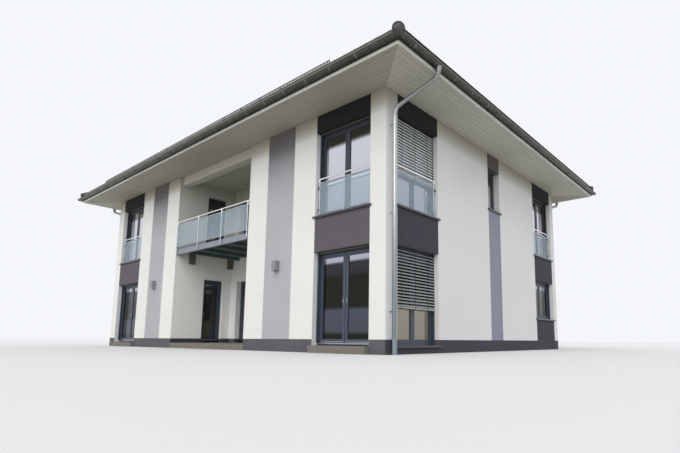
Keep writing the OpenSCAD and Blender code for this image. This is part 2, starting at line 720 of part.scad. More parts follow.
// One pane fills a bay railing from post to post, held by the clamps
function bay_pane(w) = w - 2 * (post_from_jamb + thin_rail_radius - 1);
glass_z0 = sill_top + 60 + clamp_half;
glass_z1 = rail_top_z - second_rail_drop - clamp_half;
module railing_glass() {
    color("#a9c3cf", 0.5) {
        at_wide_bays() translate([-bay_pane($bay) / 2, railing_set_back - railing_glass / 2, glass_z0])
            cube([bay_pane($bay), railing_glass, glass_z1 - glass_z0]);
        on_front() for (i = [0 : post_count - 2]) {
            x0 = balcony_post_x[i] + 20;
            x1 = balcony_post_x[i + 1] - 20;
            translate([x0, channel_y - 24 - railing_glass / 2, low_rail_z + thin_rail_radius])
                cube([x1 - x0, railing_glass, glass_z1 - low_rail_z - thin_rail_radius]);
        }
    }
}

// Plan wedges that cut the eaves pieces at mitred corners
tall = 2 * ridge_z;
far = 5;
module long_wedge(cx, cy, dx, dy) {
    linear_extrude(tall) polygon([
        [-cx + mitre_gap, -cy], [cx - mitre_gap, -cy],
        [cx - mitre_gap + far * dx, -cy - far * dy], [-cx + mitre_gap - far * dx, -cy - far * dy]]);
}
module short_wedge(cx, cy, dx, dy) {
    linear_extrude(tall) polygon([
        [cx, -cy], [cx + far * dx, -cy - far * dy], [cx + far * dx, cy + far * dy], [cx, cy]]);
}
// Two long and two short runs round the house, with open mitre joints
module four_runs(cx, cy, dx, dy) {
    for (r = [0, 180]) rotate([0, 0, r]) {
        intersection() { long_wedge(cx, cy, dx, dy); children(0); }
        intersection() { short_wedge(cx, cy, dx, dy); children(1); }
    }
}
module ring_board(inner_x, inner_y, outer_x, outer_y, z, h) {
    translate([0, 0, z]) linear_extrude(h) difference() {
        square([2 * outer_x, 2 * outer_y], center = true);
        square([2 * inner_x, 2 * inner_y], center = true);
    }
}

// Eaves: boarded soffit and fascia with mitred corners
module soffit_boards() {
    color("#bdbab0") four_runs(half_w, half_d, eaves_side, eaves_front) {
        ring_board(half_w, half_d, eave_x, eave_y, soffit_level, soffit_thickness);
        ring_board(half_w, half_d, eave_x, eave_y, soffit_level, soffit_thickness);
    }
}
module fascia_boards() {
    color("#e6e5e1") four_runs(eave_x, eave_y, 100, 100) {
        ring_board(eave_x, eave_y, roof_x, roof_y, fascia_bottom, fascia_height);
        ring_board(eave_x, eave_y, roof_x, roof_y, fascia_bottom, fascia_height);
    }
}

// Roof: four slopes of one pitch that meet in upright planes at the hips
module slope_slab(plan, heights) {
    n = len(plan);
    top = [for (i = [0 : n - 1]) [plan[i][0], plan[i][1], heights[i]]];
    low = [for (i = [0 : n - 1]) [plan[i][0], plan[i][1], heights[i] - roof_thickness]];
    polyhedron(
        points = concat(low, top),
        faces = concat(
            [[for (i = [0 : n - 1]) i]],
            [[for (i = [n - 1 : -1 : 0]) n + i]],
            [for (i = [0 : n - 1]) [i, n + i, n + (i + 1) % n, (i + 1) % n]]));
}
module long_slope() {
    slope_slab(
        [[-roof_x, -roof_y], [roof_x, -roof_y], [ridge_half, 0], [-ridge_half, 0]],
        [roof_eave_z, roof_eave_z, ridge_z, ridge_z]);
}
module hip_end() {
    slope_slab(
        [[roof_x, -roof_y], [roof_x, roof_y], [ridge_half, 0]],
        [roof_eave_z, roof_eave_z, ridge_z]);
}
module roof_front_slope() { color("#33363a") long_slope(); }
module roof_rear_slope() { color("#33363a") rotate([0, 0, 180]) long_slope(); }
module roof_right_hip() { color("#2f3236") hip_end(); }
module roof_left_hip() { color("#2f3236") rotate([0, 0, 180]) hip_end(); }

// Timbers along the walls, cut to the underside of the slopes
module plate_ring() {
    ring_board(half_w - wall_plate_width, half_d - wall_plate_width, half_w, half_d,
        soffit_level + ceiling_thickness, roof_thickness * 5);
}
module wall_plates() {
    color("burlywood") intersection() {
        four_runs(half_w - wall_plate_width, half_d - wall_plate_width, 100, 100) {
            plate_ring();
            plate_ring();
        }
        translate([0, 0, -roof_thickness - fit_gap]) solid_under();
    }
}

// Round caps over the ridge and the hips, bedded on the slopes
under_z = roof_eave_z - 4 * roof_thickness;
under_reach = 3 * cap_overhang;
module solid_under() {
    x = roof_x + under_reach;
    y = roof_y + under_reach;
    z = roof_eave_z - under_reach * slope;
    polyhedron(
        points = [
            [-x, -y, under_z], [x, -y, under_z], [x, y, under_z], [-x, y, under_z],
            [-x, -y, z], [x, -y, z], [x, y, z], [-x, y, z],
            [-ridge_half, 0, ridge_z], [ridge_half, 0, ridge_z]],
        faces = [
            [0, 1, 2, 3], [1, 0, 4, 5], [2, 1, 5, 6], [3, 2, 6, 7], [0, 3, 7, 4],
            [5, 4, 8, 9], [6, 5, 9], [7, 6, 9, 8], [4, 7, 8]]);
}
hip_angle = atan(slope / sqrt(2));
hip_length = (roof_y + cap_overhang) * sqrt(2) / cos(hip_angle);
cap_z = ridge_z + cap_lift;
end_radius = cap_radius * 1.4;
module ridge_cap() {
    color("#2b2d31") difference() {
        union() {
            rail_x(-ridge_half, ridge_half, 0, cap_z, cap_radius);
            for (s = [-1, 1]) translate([s * ridge_half, 0, cap_z]) sphere(r = end_radius);
        }
        solid_under();
    }
}
module hip_caps() {
    color("#2b2d31") for (sx = [0, 1]) for (sy = [0, 1]) mirror([sx, 0, 0]) mirror([0, sy, 0]) difference() {
        translate([ridge_half, 0, cap_z]) rotate([0, 0, -45]) rotate([0, 90 + hip_angle, 0])
            cylinder(r = cap_radius, h = hip_length);
        solid_under();
        translate([ridge_half, 0, cap_z]) sphere(r = end_radius);
    }
}

// Snow guards: two pipes on brackets along the front and rear eaves
module snow_guards() {
    run = 2 * roof_x - 2 * guard_end;
    y = -roof_y + guard_in;
    surface_z = roof_eave_z + guard_in * slope;
    step = (run - 120) / (guard_brackets - 1);
    color("#4a4d50") for (r = [0, 180]) rotate([0, 0, r]) union() {
        for (h = [0.55, 1])
            rail_x(-run / 2, run / 2, y, surface_z + guard_height * h - guard_pipe, guard_pipe);
        for (i = [0 : guard_brackets - 1])
            translate([-run / 2 + 60 + i * step - 4, y - 12, surface_z + 12 * slope])
                cube([8, 24, guard_height - 12 * slope]);
    }
}

// Half-round gutters with a rolled front bead
module gutter_profile() {
    difference() {
        circle(r = gutter_radius);
        circle(r = gutter_radius - gutter_sheet);
        translate([-gutter_radius - 1, 0]) square([2 * gutter_radius + 2, gutter_radius + 1]);
    }
    translate([gutter_radius - gutter_sheet / 2, 0]) circle(r = 9);
}
// Bracket under the gutter with a tail on the roof edge
module hook_profile() {
    difference() {
        circle(r = gutter_radius + hook_thickness);
        circle(r = gutter_radius - gutter_sheet / 2);
        translate([-gutter_radius * 2, 0]) square([gutter_radius * 4, gutter_radius * 2]);
    }
    translate([-gutter_radius - gutter_gap, -40]) square([gutter_gap + gutter_sheet / 2, 100]);
}
hook_from_end = 250;
// Gutter along a run of the eaves, hung on evenly spaced brackets
module gutter_run(half, out, hooks) {
    length = 2 * half + 8 * gutter_radius;
    reach = half - hook_from_end;
    translate([0, -out, gutter_z]) rotate([90, 0, 90]) mirror([1, 0]) {
        translate([0, 0, -length / 2]) linear_extrude(length) gutter_profile();
        for (i = [0 : hooks - 1])
            translate([0, 0, -reach + 2 * reach * i / (hooks - 1) - hook_width / 2])
                linear_extrude(hook_width) hook_profile();
    }
}
module gutters() {
    color("#5d6266") four_runs(eave_x, eave_y, 100, 100) {
        gutter_run(roof_x, roof_y + gutter_gap + gutter_radius, hooks_long);
        rotate([0, 0, 90]) gutter_run(roof_y, roof_x + gutter_gap + gutter_radius, hooks_short);
    }
}

// Downpipes: outlet, slanting run under the soffit, upright pipe and standpipe
module pipe_between(a, b, r) {
    d = b - a;
    l = norm(d);
    translate(a) rotate([0, acos(d[2] / l), atan2(d[1], d[0])]) cylinder(r = r, h = l);
}
module downpipe(out, along, out_along) {
    r = downpipe_radius;
    bend = [out, out_along, soffit_level - pipe_upper_bend];
    wall_bend = [downpipe_offset, along, soffit_level - pipe_lower_bend];
    union() {
        difference() {
            translate(bend) cylinder(r = r, h = gutter_z - bend[2]);
            translate([out, out_along - 2 * r, gutter_z]) rotate([-90, 0, 0])
                cylinder(r = gutter_radius + fit_gap, h = 4 * r);
        }
        translate(bend) sphere(r = r + 4);
        pipe_between(wall_bend, bend, r);
        translate(wall_bend) sphere(r = r + 4);
        translate([downpipe_offset, along, standpipe_height])
            cylinder(r = r, h = wall_bend[2] - standpipe_height);
        translate([downpipe_offset, along, 0]) cylinder(r = standpipe_radius, h = standpipe_height + 20);
        // Wall brackets
        for (z = pipe_bracket_z) translate([0, along - 15, z]) cube([downpipe_offset, 30, 30]);
    }
}

module downpipes() {
    out_x = eaves_side + fascia_thickness + gutter_gap + gutter_radius;
    out_y = eaves_front + fascia_thickness + gutter_gap + gutter_radius;
    color("#8f969b") for (sx = [0, 1]) mirror([sx, 0, 0]) {
        translate([half_w, -half_d, 0]) downpipe(out_x, pipe_from_corner, outlet_from_corner);
        translate([half_w, half_d, 0]) rotate([0, 0, 90])
            downpipe(out_y, rear_pipe_from_corner, outlet_from_corner);
    }
}

// Up and down lights on the grey stripes, with a lamp recess at both ends
light_sheet = 6;
light_recess = 60;
module wall_lights() {
    color("#85888c") on_front() for (s = [-1, 1]) translate([s * stripe_x, -light_depth, light_bottom])
        difference() {
            translate([-light_width / 2, 0, 0]) cube([light_width, light_depth, light_height]);
            for (z = [-1, light_height - light_recess])
                translate([light_sheet - light_width / 2, light_sheet, z])
                    cube([light_width - 2 * light_sheet, light_depth - 2 * light_sheet, light_recess + 1]);
        }
}

ground_floor();
upper_floor();
ceiling_slab();
corner_piers();
front_wall();
rear_wall();
side_walls();
grey_stripes();
dark_panels();
blind_boxes();
plinth_blocks();
plinth_runs();
loggia_side_walls();
loggia_back_wall();
loggia_lintels();
window_frames();
window_sashes();
window_glass();
window_sills();
roller_blinds();
door_jambs();
door_heads();
door_thresholds();
door_steps();
right_door_leaf_a();
right_door_glass_a();
right_door_leaf_b();
right_door_glass_b();
left_door_leaf_a();
left_door_glass_a();
left_door_leaf_b();
left_door_glass_b();
loggia_side_door_leaf();
loggia_side_door_glass();
loggia_back_door_leaf();
loggia_back_door_glass();
balcony_channel();
balcony_joists();
balcony_floor();
balcony_brackets();
railings();
railing_glass();
soffit_boards();
fascia_boards();
wall_plates();
roof_front_slope();
roof_rear_slope();
roof_right_hip();
roof_left_hip();
ridge_cap();
hip_caps();
snow_guards();
gutters();
downpipes();
wall_lights();
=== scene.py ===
"""Looks of the detached house: finishes, fine pieces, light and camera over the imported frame."""

import logging
import math
from dataclasses import dataclass
from enum import Enum

import bmesh
import bpy
from mathutils import Matrix, Vector


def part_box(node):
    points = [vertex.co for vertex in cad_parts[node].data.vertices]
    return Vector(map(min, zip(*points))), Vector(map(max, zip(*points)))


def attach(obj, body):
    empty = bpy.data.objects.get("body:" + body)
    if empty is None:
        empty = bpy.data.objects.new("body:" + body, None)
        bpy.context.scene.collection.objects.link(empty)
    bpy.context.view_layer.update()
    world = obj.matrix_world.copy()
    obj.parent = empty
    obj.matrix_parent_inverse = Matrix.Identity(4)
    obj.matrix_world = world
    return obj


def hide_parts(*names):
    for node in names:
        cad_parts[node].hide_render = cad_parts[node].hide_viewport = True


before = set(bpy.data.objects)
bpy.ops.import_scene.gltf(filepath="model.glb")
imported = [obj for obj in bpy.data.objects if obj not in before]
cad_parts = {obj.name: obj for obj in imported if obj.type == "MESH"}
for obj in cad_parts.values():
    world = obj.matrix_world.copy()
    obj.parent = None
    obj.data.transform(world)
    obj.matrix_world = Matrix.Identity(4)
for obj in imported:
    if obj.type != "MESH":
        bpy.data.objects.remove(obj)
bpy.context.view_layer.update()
LOG = logging.getLogger("house")
MM = 0.001
# Short names for the types that most functions take
Form, Tree, Socket, Thing = bmesh.types.BMesh, bpy.types.NodeTree, bpy.types.NodeSocket, bpy.types.Object


def linear(code: str) -> tuple[float, float, float, float]:
    """Turns an sRGB hex colour to linear light.

    Args:
        code: Colour as six hex digits, such as "e4e4e4".

    Returns:
        Red, green, blue and alpha in linear light.
    """
    parts = [int(code[i:i + 2], 16) / 255 for i in (0, 2, 4)]
    curve = [c / 12.92 if c <= 0.04045 else ((c + 0.055) / 1.055) ** 2.4 for c in parts]
    return (curve[0], curve[1], curve[2], 1.0)


def add(tree: Tree, kind: str, settings: dict | None = None, links: dict | None = None):
    """Adds a node with its settings and links.

    Args:
        tree: Node tree that the node joins.
        kind: Blender's name of the node type.
        settings: Node properties and, by socket name or number, input values.
        links: Output sockets by the name or number of the input they feed.

    Returns:
        The new node.
    """
    node = tree.nodes.new(kind)
    for name, value in (settings or {}).items():
        if isinstance(name, int) or name in node.inputs:
            node.inputs[name].default_value = value
        else:
            setattr(node, name, value)
    for name, source in (links or {}).items():
        tree.links.new(source, node.inputs[name])
    return node


def by_height(tree: Tree, place: Socket, levels: tuple) -> Socket:
    """Adds a colour that changes with the height over the ground.

    Args:
        tree: Node tree of the material.
        place: Object coordinates.
        levels: Heights in metres with their sRGB colours, from the lowest.

    Returns:
        The colour output.
    """
    top = levels[-1][0]
    height = add(tree, "ShaderNodeSeparateXYZ", {}, {"Vector": place}).outputs["Z"]
    share = add(tree, "ShaderNodeMapRange", {"From Max": top}, {"Value": height})
    ramp = add(tree, "ShaderNodeValToRGB", {}, {"Fac": share.outputs["Result"]})
    stops = ramp.color_ramp.elements
    for index, (level, code) in enumerate(levels):
        stop = stops[index] if index < 2 else stops.new(level / top)
        stop.position, stop.color = level / top, linear(code)
    return ramp.outputs["Color"]


def only(items: list, kind: type) -> list:
    """Picks the vertices, edges or faces out of what an operator gives back."""
    return [item for item in items if isinstance(item, kind)]


def everything(form: Form) -> list:
    """Lists all vertices, edges and faces of a mesh."""
    return form.verts[:] + form.edges[:] + form.faces[:]


def turned(degrees: float, axis: str = "Z") -> Matrix:
    """Rotation about an axis of the house."""
    return Matrix.Rotation(math.radians(degrees), 4, axis)


def move(form: Form, place: Matrix) -> None:
    """Moves, turns or scales a whole mesh."""
    bmesh.ops.transform(form, verts=form.verts[:], matrix=place)


def thicken(form: Form, sheet: float, upwards: bool = False) -> None:
    """Gives a mesh of bare faces its thickness.

    Args:
        form: Mesh of bare faces.
        sheet: Thickness in metres.
        upwards: Whether the faces are first turned to look up.
    """
    bmesh.ops.recalc_face_normals(form, faces=form.faces[:])
    if upwards and form.faces[0].normal.z < 0:
        bmesh.ops.reverse_faces(form, faces=form.faces[:])
    bmesh.ops.solidify(form, geom=form.faces[:], thickness=sheet)


def block(form: Form, low: tuple, high: tuple, ease: float = 0.0, steps: int = 1) -> None:
    """Adds a box between two corners, with eased edges.

    Args:
        form: Mesh that the box joins.
        low: Lowest corner in metres.
        high: Highest corner in metres.
        ease: Width of the eased edges in metres.
        steps: Facets on each eased edge.
    """
    middle = (Vector(low) + Vector(high)) / 2
    size = Vector(high) - Vector(low)
    made = bmesh.ops.create_cube(form, size=1.0, matrix=Matrix.LocRotScale(middle, None, size))
    if ease:
        edges = list({edge for vert in made["verts"] for edge in vert.link_edges})
        bmesh.ops.bevel(form, geom=edges, offset=ease, segments=steps, profile=0.5, affect="EDGES",
                        material=-1)


def centred(form: Form, middle: tuple, size: tuple, ease: float, steps: int = 1) -> None:
    """Adds a box by its middle and its lengths along X, Y and Z, with eased edges."""
    half = Vector(size) / 2
    block(form, Vector(middle) - half, Vector(middle) + half, ease, steps)


def rod(form: Form, start: tuple, end: tuple, radius: float, sides: int = 12,
        far_radius: float = 0.0) -> None:
    """Adds a closed round bar or cone between two points.

    Args:
        form: Mesh that the bar joins.
        start: One end of its axis.
        end: The other end of its axis.
        radius: Radius in metres at the start.
        sides: Facets round the bar.
        far_radius: Radius at the end, where it differs.
    """
    axis = Vector(end) - Vector(start)
    place = Matrix.LocRotScale((Vector(start) + Vector(end)) / 2, axis.to_track_quat("Z", "Y"), None)
    bmesh.ops.create_cone(form, cap_ends=True, segments=sides, radius1=radius, radius2=far_radius or radius,
                          depth=axis.length, matrix=place)


def tube(form: Form, points: list, radius: float, bend: float, sides: int = 20) -> None:
    """Sweeps a round pipe along a broken line, with a round bend at each corner.

    Args:
        form: Mesh that the pipe joins.
        points: Corners of the axis.
        radius: Radius of the pipe.
        bend: Radius of the bends at the axis.
        sides: Facets round the pipe.
    """
    path = [Vector(point) for point in points]
    here, way = path[0], (path[1] - path[0]).normalized()
    place = Matrix.LocRotScale(here, way.to_track_quat("Z", "Y"), None)
    made = bmesh.ops.create_circle(form, cap_ends=True, segments=sides, radius=radius, matrix=place)
    edges = list({edge for vert in made["verts"] for edge in vert.link_edges})
    for index in range(1, len(path)):
        last = index == len(path) - 1
        ahead = way if last else (path[index + 1] - path[index]).normalized()
        turn = way.angle(ahead) if not last else 0.0
        stop = path[index] - way * bend * math.tan(turn / 2)
        grown = bmesh.ops.extrude_edge_only(form, edges=edges)["geom"]
        bmesh.ops.translate(form, verts=only(grown, bmesh.types.BMVert), vec=stop - here)
        edges = [edge for edge in only(grown, bmesh.types.BMEdge)
                 if all((vert.co - stop).dot(way) > -1e-5 for vert in edge.verts)]
        here = stop
        if not last:
            axis = way.cross(ahead).normalized()
            done = bmesh.ops.spin(form, geom=edges, cent=here + axis.cross(way) * bend, axis=axis, angle=turn,
                                  steps=6, use_duplicate=False)
            edges = only(done["geom_last"], bmesh.types.BMEdge)
            here = path[index] + ahead * bend * math.tan(turn / 2)
            way = ahead
    bmesh.ops.edgeloop_fill(form, edges=edges)


def ring(form: Form, low: tuple, high: tuple, face: float) -> None:
    """Adds a flat rectangular ring that stands on an XZ plane.

    Args:
        form: Mesh that the ring joins.
        low: Lowest corner of the ring.
        high: Highest corner of the ring.
        face: Width of its four bars.
    """
    size = Vector(high) - Vector(low)
    middle = (Vector(low) + Vector(high)) / 2
    upright = Matrix.LocRotScale((middle.x, low[1], middle.z), Matrix.Rotation(math.radians(90), 3, "X"),
                                 (size.x, size.z, 1))
    made = bmesh.ops.create_grid(form, x_segments=1, y_segments=1, size=0.5, matrix=upright)
    centre = made["verts"][0].link_faces[0]
    rim = bmesh.ops.inset_region(form, faces=[centre], thickness=face, use_boundary=True,
                                 use_even_offset=True)["faces"]
    bmesh.ops.delete(form, geom=[centre], context="FACES_ONLY")
    grown = bmesh.ops.extrude_face_region(form, geom=rim, use_keep_orig=True)["geom"]
    bmesh.ops.translate(form, verts=only(grown, bmesh.types.BMVert), vec=(0, size.y, 0))


def repeat(form: Form, shift: tuple, copies: int) -> None:
    """Adds copies of everything in a mesh, each a shift further than the one before."""
    bmesh.ops.spin(form, geom=everything(form), cent=(0, 0, 0), axis=(0, 0, 1), dvec=shift, angle=0.0,
                   steps=copies, use_duplicate=True)


def cut(form: Form, point: tuple, outward: tuple) -> None:
    """Cuts away what lies beyond a plane and closes the cut.

    Args:
        form: Mesh to cut.
        point: Any point of the plane.
        outward: Direction of the side that is removed.
    """
    done = bmesh.ops.bisect_plane(form, geom=everything(form), dist=1e-6, plane_co=point, plane_no=outward,
                                  clear_outer=True)
    bmesh.ops.holes_fill(form, edges=only(done["geom_cut"], bmesh.types.BMEdge), sides=0)


def join(form: Form, other: Form, place: Matrix | None = None) -> None:
    """Adds another mesh to a mesh and frees it.

    Args:
        form: Mesh that receives.
        other: Mesh that is added and freed.
        place: Placing of the added mesh, where it needs one.
    """
    if place:
        move(other, place)
    carrier = bpy.data.meshes.new("carrier")
    other.to_mesh(carrier)
    other.free()
    form.from_mesh(carrier)
    bpy.data.meshes.remove(carrier)


def mirror_over(form: Form, across: tuple = (-1, 1, 1)) -> None:
    """Adds the mirror image of a mesh to it.

    Args:
        form: Mesh to double.
        across: Scale that mirrors it, such as -1 along X.
    """
    other = form.copy()
    bmesh.ops.scale(other, verts=other.verts[:], vec=across)
    bmesh.ops.reverse_faces(other, faces=other.faces[:])
    join(form, other)


def hang(name: str, data: bpy.types.ID) -> Thing:
    """Makes an object of a mesh, lamp or camera and links it to the scene."""
    made = bpy.data.objects.new(name, data)
    bpy.context.scene.collection.objects.link(made)
    return made


def piece(name: str, form: Form, finish: "Finish", body: str = "house",
          replaces: tuple[str, ...] = (), sharp_deg: float = 35) -> Thing:
    """Makes a finished object of a mesh and hangs it on its body.

    Args:
        name: Name of the piece.
        form: Mesh in house coordinates; it is freed.
        finish: Finish that covers it.
        body: Body that it moves with.
        replaces: Frame nodes that it stands for.
        sharp_deg: Angle from which an edge stays sharp.

    Returns:
        The new object.
    """
    bmesh.ops.recalc_face_normals(form, faces=form.faces[:])
    mesh = bpy.data.meshes.new(name)
    form.to_mesh(mesh)
    form.free()
    mesh.shade_smooth()
    mesh.set_sharp_from_angle(angle=math.radians(sharp_deg))
    mesh.materials.append(finish.material())
    made = hang(name, mesh)
    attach(made, body)
    if replaces:
        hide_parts(*replaces)
    LOG.info("%s: %d faces", name, len(mesh.polygons))
    return made


class Grain(Enum):
    """Kind of fine relief, with the stretch of its pattern. The two 0.999 only keep the kinds apart."""

    FLOATED = (1.0, 1.0, 1.0)
    SMOOTH = (1.0, 1.0, 0.999)
    PITTED = (1.0, 0.999, 1.0)
    ALONG_X = (0.04, 1.0, 1.0)
    ALONG_Y = (1.0, 0.04, 1.0)


@dataclass(frozen=True)
class Finish:
    """A surface finish with a two-tone pattern and a relief, both sized in millimetres."""

    name: str
    colour: str
    second: str
    patch_mm: float
    grain_mm: float
    relief_mm: float
    roughness: float
    metallic: float = 0.0
    grain: Grain = Grain.SMOOTH
    coat: float = 0.0
    alpha: float = 1.0

    def material(self) -> bpy.types.Material:
        """Builds the material once and hands the same one out afterwards.

        Returns:
            The finish as a node material.
        """
        known = bpy.data.materials.get(self.name)
        if known:
            return known
        made = bpy.data.materials.new(self.name)
        made.use_nodes = True
        tree = made.node_tree
        shader = tree.nodes["Principled BSDF"]
        shader.inputs["Metallic"].default_value = self.metallic
        shader.inputs["Alpha"].default_value = self.alpha
        shader.inputs["Coat Weight"].default_value = self.coat
        object_place = add(tree, "ShaderNodeTexCoord").outputs["Object"]
        place = add(tree, "ShaderNodeMapping", {"Scale": self.grain.value}, {"Vector": object_place})
        tree.links.new(self.tone(tree, place.outputs[0]), shader.inputs["Base Color"])
        fine = self.relief(tree, place.outputs[0])
        rough = add(tree, "ShaderNodeMapRange",
                    {"To Min": self.roughness - 0.05, "To Max": self.roughness + 0.05}, {"Value": fine})
        tree.links.new(rough.outputs["Result"], shader.inputs["Roughness"])
        bump = add(tree, "ShaderNodeBump", {"Strength": 0.5, "Distance": self.relief_mm * MM},
                   {"Height": fine})
        tree.links.new(bump.outputs["Normal"], shader.inputs["Normal"])
        return made

    def tone(self, tree: Tree, place: Socket) -> Socket:
        """Adds the two-tone colour pattern.

        Args:
            tree: Node tree of the material.
            place: Stretched object coordinates.

        Returns:
            The colour output.
        """
        patches = add(tree, "ShaderNodeTexNoise", {"Scale": 1 / (self.patch_mm * MM), "Detail": 3.0},
                      {"Vector": place})
        spread = add(tree, "ShaderNodeMapRange", {"From Min": 0.35, "From Max": 0.7},
                     {"Value": patches.outputs[0]})
        tones = {"data_type": "RGBA", 6: linear(self.colour), 7: linear(self.second)}
        return add(tree, "ShaderNodeMix", tones, {"Factor": spread.outputs["Result"]}).outputs[2]

    def relief(self, tree: Tree, place: Socket) -> Socket:
        """Adds the fine relief pattern.

        Args:
            tree: Node tree of the material.
            place: Stretched object coordinates.

        Returns:
            The pattern's height output.
        """
        fine = add(tree, "ShaderNodeTexNoise", {"Scale": 1 / (self.grain_mm * MM), "Detail": 4.0},
                   {"Vector": place})
        if self.grain is Grain.FLOATED:
            sweep = add(tree, "ShaderNodeTexNoise", {"Scale": 1 / (self.grain_mm * 24 * MM), "Detail": 2.0},
                        {"Vector": place})
            return self.blend(tree, fine, sweep, 0.6)
        if self.grain is Grain.PITTED:
            pits = add(tree, "ShaderNodeTexVoronoi", {"Scale": 1 / (self.grain_mm * 2.5 * MM)},
                       {"Vector": place})
            return self.blend(tree, pits, fine, 0.7)
        return fine.outputs[0]

    def blend(self, tree: Tree, scaled: bpy.types.Node, whole: bpy.types.Node, share: float) -> Socket:
        """Adds a share of the first pattern to the whole second one."""
        links = {0: scaled.outputs[0], 2: whole.outputs[0]}
        return add(tree, "ShaderNodeMath", {"operation": "MULTIPLY_ADD", 1: share}, links).outputs[0]


@dataclass(frozen=True)
class HeightTone(Finish):
    """A finish whose tone changes with its height over the ground, to paint in reflections, light and shade
    that differ by height.

    Its levels give the tones, so its two colours stay empty.
    """

    levels: tuple = ()

    def tone(self, tree: Tree, place: Socket) -> Socket:
        """Adds the tone by height over the ground."""
        return by_height(tree, place, self.levels)


@dataclass(frozen=True)
class WallRender(Finish):
    """Render with painted shade: darker towards the eaves, and drawn in a darker, cooler side tone on the
    walls that face along X.
    """

    # Painted shade: the render darkens from 5.36 m up to the soffit, under the eaves
    levels: tuple = ((0.0, "ffffff"), (5.36, "ffffff"), (5.60, "dcd9d2"), (5.92, "b9b4a9"))
    # Painted shade: the tone that multiplies the side walls, those facing along X
    side: str = "fafcff"

    def tone(self, tree: Tree, place: Socket) -> Socket:
        """Adds the two-tone pattern under painted shade by height and the painted shade of the side walls.

        Args:
            tree: Node tree of the material.
            place: Object coordinates.

        Returns:
            The colour output.
        """
        times = {"data_type": "RGBA", "blend_type": "MULTIPLY"}
        plain = super().tone(tree, place)
        # Painted shade towards the eaves, by height
        painted_eaves_shade = add(tree, "ShaderNodeMix", {**times, 0: 1.0},
                    {6: plain, 7: by_height(tree, place, self.levels)})
        # Painted shade of the side walls, by how far each face turns along X
        normal = add(tree, "ShaderNodeTexCoord").outputs["Normal"]
        across = add(tree, "ShaderNodeSeparateXYZ", {}, {"Vector": normal}).outputs["X"]
        size = add(tree, "ShaderNodeMath", {"operation": "ABSOLUTE"}, {0: across})
        mixed = add(tree, "ShaderNodeMix", {**times, 7: linear(self.side)},
                    {0: size.outputs[0], 6: painted_eaves_shade.outputs[2]})
        return mixed.outputs[2]


@dataclass(frozen=True)
class TileFinish(Finish):
    """Fired clay whose tone changes from tile to tile."""

    cover_mm: float = 300.0

    def tone(self, tree: Tree, place: Socket) -> Socket:
        """Adds the tone of each tile.

        Args:
            tree: Node tree of the material.
            place: Object coordinates.

        Returns:
            The colour output.
        """
        cells = add(tree, "ShaderNodeTexVoronoi", {"Scale": 1 / (self.cover_mm * MM)}, {"Vector": place})
        burn = add(tree, "ShaderNodeTexNoise", {"Scale": 1 / (self.patch_mm * MM), "Detail": 4.0},
                   {"Vector": place})
        both = add(tree, "ShaderNodeMath", {"operation": "MULTIPLY"},
                   {0: cells.outputs["Color"], 1: burn.outputs[0]})
        tones = {"data_type": "RGBA", 6: linear(self.colour), 7: linear(self.second)}
        return add(tree, "ShaderNodeMix", tones, {"Factor": both.outputs[0]}).outputs[2]


# Mineral render, floated: rounded grit that scatters light evenly and keeps the walls matt; painted shade
# darkens it under the eaves and faintly on the side walls
WHITE_RENDER = WallRender("mineral_render_white", "ededec", "e8e8e8", 1400, 6, 1.6, 0.92, grain=Grain.FLOATED)
# The same render in the sheltered loggia, drawn paler than the outer walls as painted light, with painted
# shade darker on the upper storey and under the ceiling
LOGGIA_RENDER = WallRender(
    "mineral_render_sheltered", "fbfbfa", "f8f8f8", 1400, 6, 1.6, 0.92, grain=Grain.FLOATED, side="ffffff",
    levels=((0.0, "ffffff"), (3.10, "ffffff"), (3.50, "efeeea"), (5.00, "eae9e3"), (5.92, "c8c6bd")))
# The same render tinted grey for the stripes: a cool mid tone, with painted shade under the eaves and a
# darker, bluer painted shade on the side walls
GREY_RENDER = WallRender(
    "mineral_render_grey", "b8b6bc", "b2b0b7", 1400, 6, 1.6, 0.92, grain=Grain.FLOATED, side="cfd4e5",
    levels=((0.0, "ffffff"), (3.90, "ffffff"), (4.60, "ebebec"), (5.05, "d2d1d3"), (5.42, "a19f9f"),
            (5.92, "a3a09b")))
# Anthracite render with light and dark grit. Its 3 mm speckle would vanish, so it is drawn at 30 mm
# Painted shade: darker and bluer on the side walls and towards the eaves
DARK_RENDER = WallRender(
    "mineral_render_anthracite", "625e66", "575259", 30, 6, 1.6, 0.9, grain=Grain.FLOATED, side="b6b9c6")
# Umber render over the narrow windows: plain and matt
NARROW_RENDER = Finish("mineral_render_umber", "5a5655", "54504f", 900, 6, 1.6, 0.9, grain=Grain.FLOATED)
# Cement coat brushed on the plinth: coarse, with faint damp patches
# Painted shade: darker on the side walls
PLINTH_RENDER = WallRender("cement_plinth_coat", "615d66", "58555d", 500, 9, 2.0, 0.9, grain=Grain.FLOATED,
                           side="bfc2cb")
# Cast concrete: pale, with air pits
CONCRETE = Finish("cast_concrete", "a9a7a2", "9b9994", 400, 12, 1.5, 0.85, grain=Grain.PITTED)
# Sandstone slabs of the loggia floor
LOGGIA_STONE = Finish("sandstone_slab", "b3a287", "a39277", 300, 10, 1.0, 0.8, grain=Grain.PITTED)
# Painted sheet over the blind boxes: nearly black and quite matt
BOX_METAL = Finish("matt_painted_sheet_black", "110f10", "0e0c0d", 300, 4, 0.2, 0.9)
# Powder coat on aluminium bars: fine orange peel, a bluish anthracite, drawn darker on the upper storey as
# painted shade
FRAME_COAT = HeightTone("powder_coated_aluminium", "", "", 200, 2, 0.08, 0.36, levels=(
    (0.0, "3f4959"), (2.50, "3f4959"), (3.30, "373c47"), (6.00, "363b46")))
# Rubber gasket between sash and pane: dull black line
GASKET = Finish("black_gasket_rubber", "17181a", "1c1d1f", 60, 2, 0.1, 0.7)
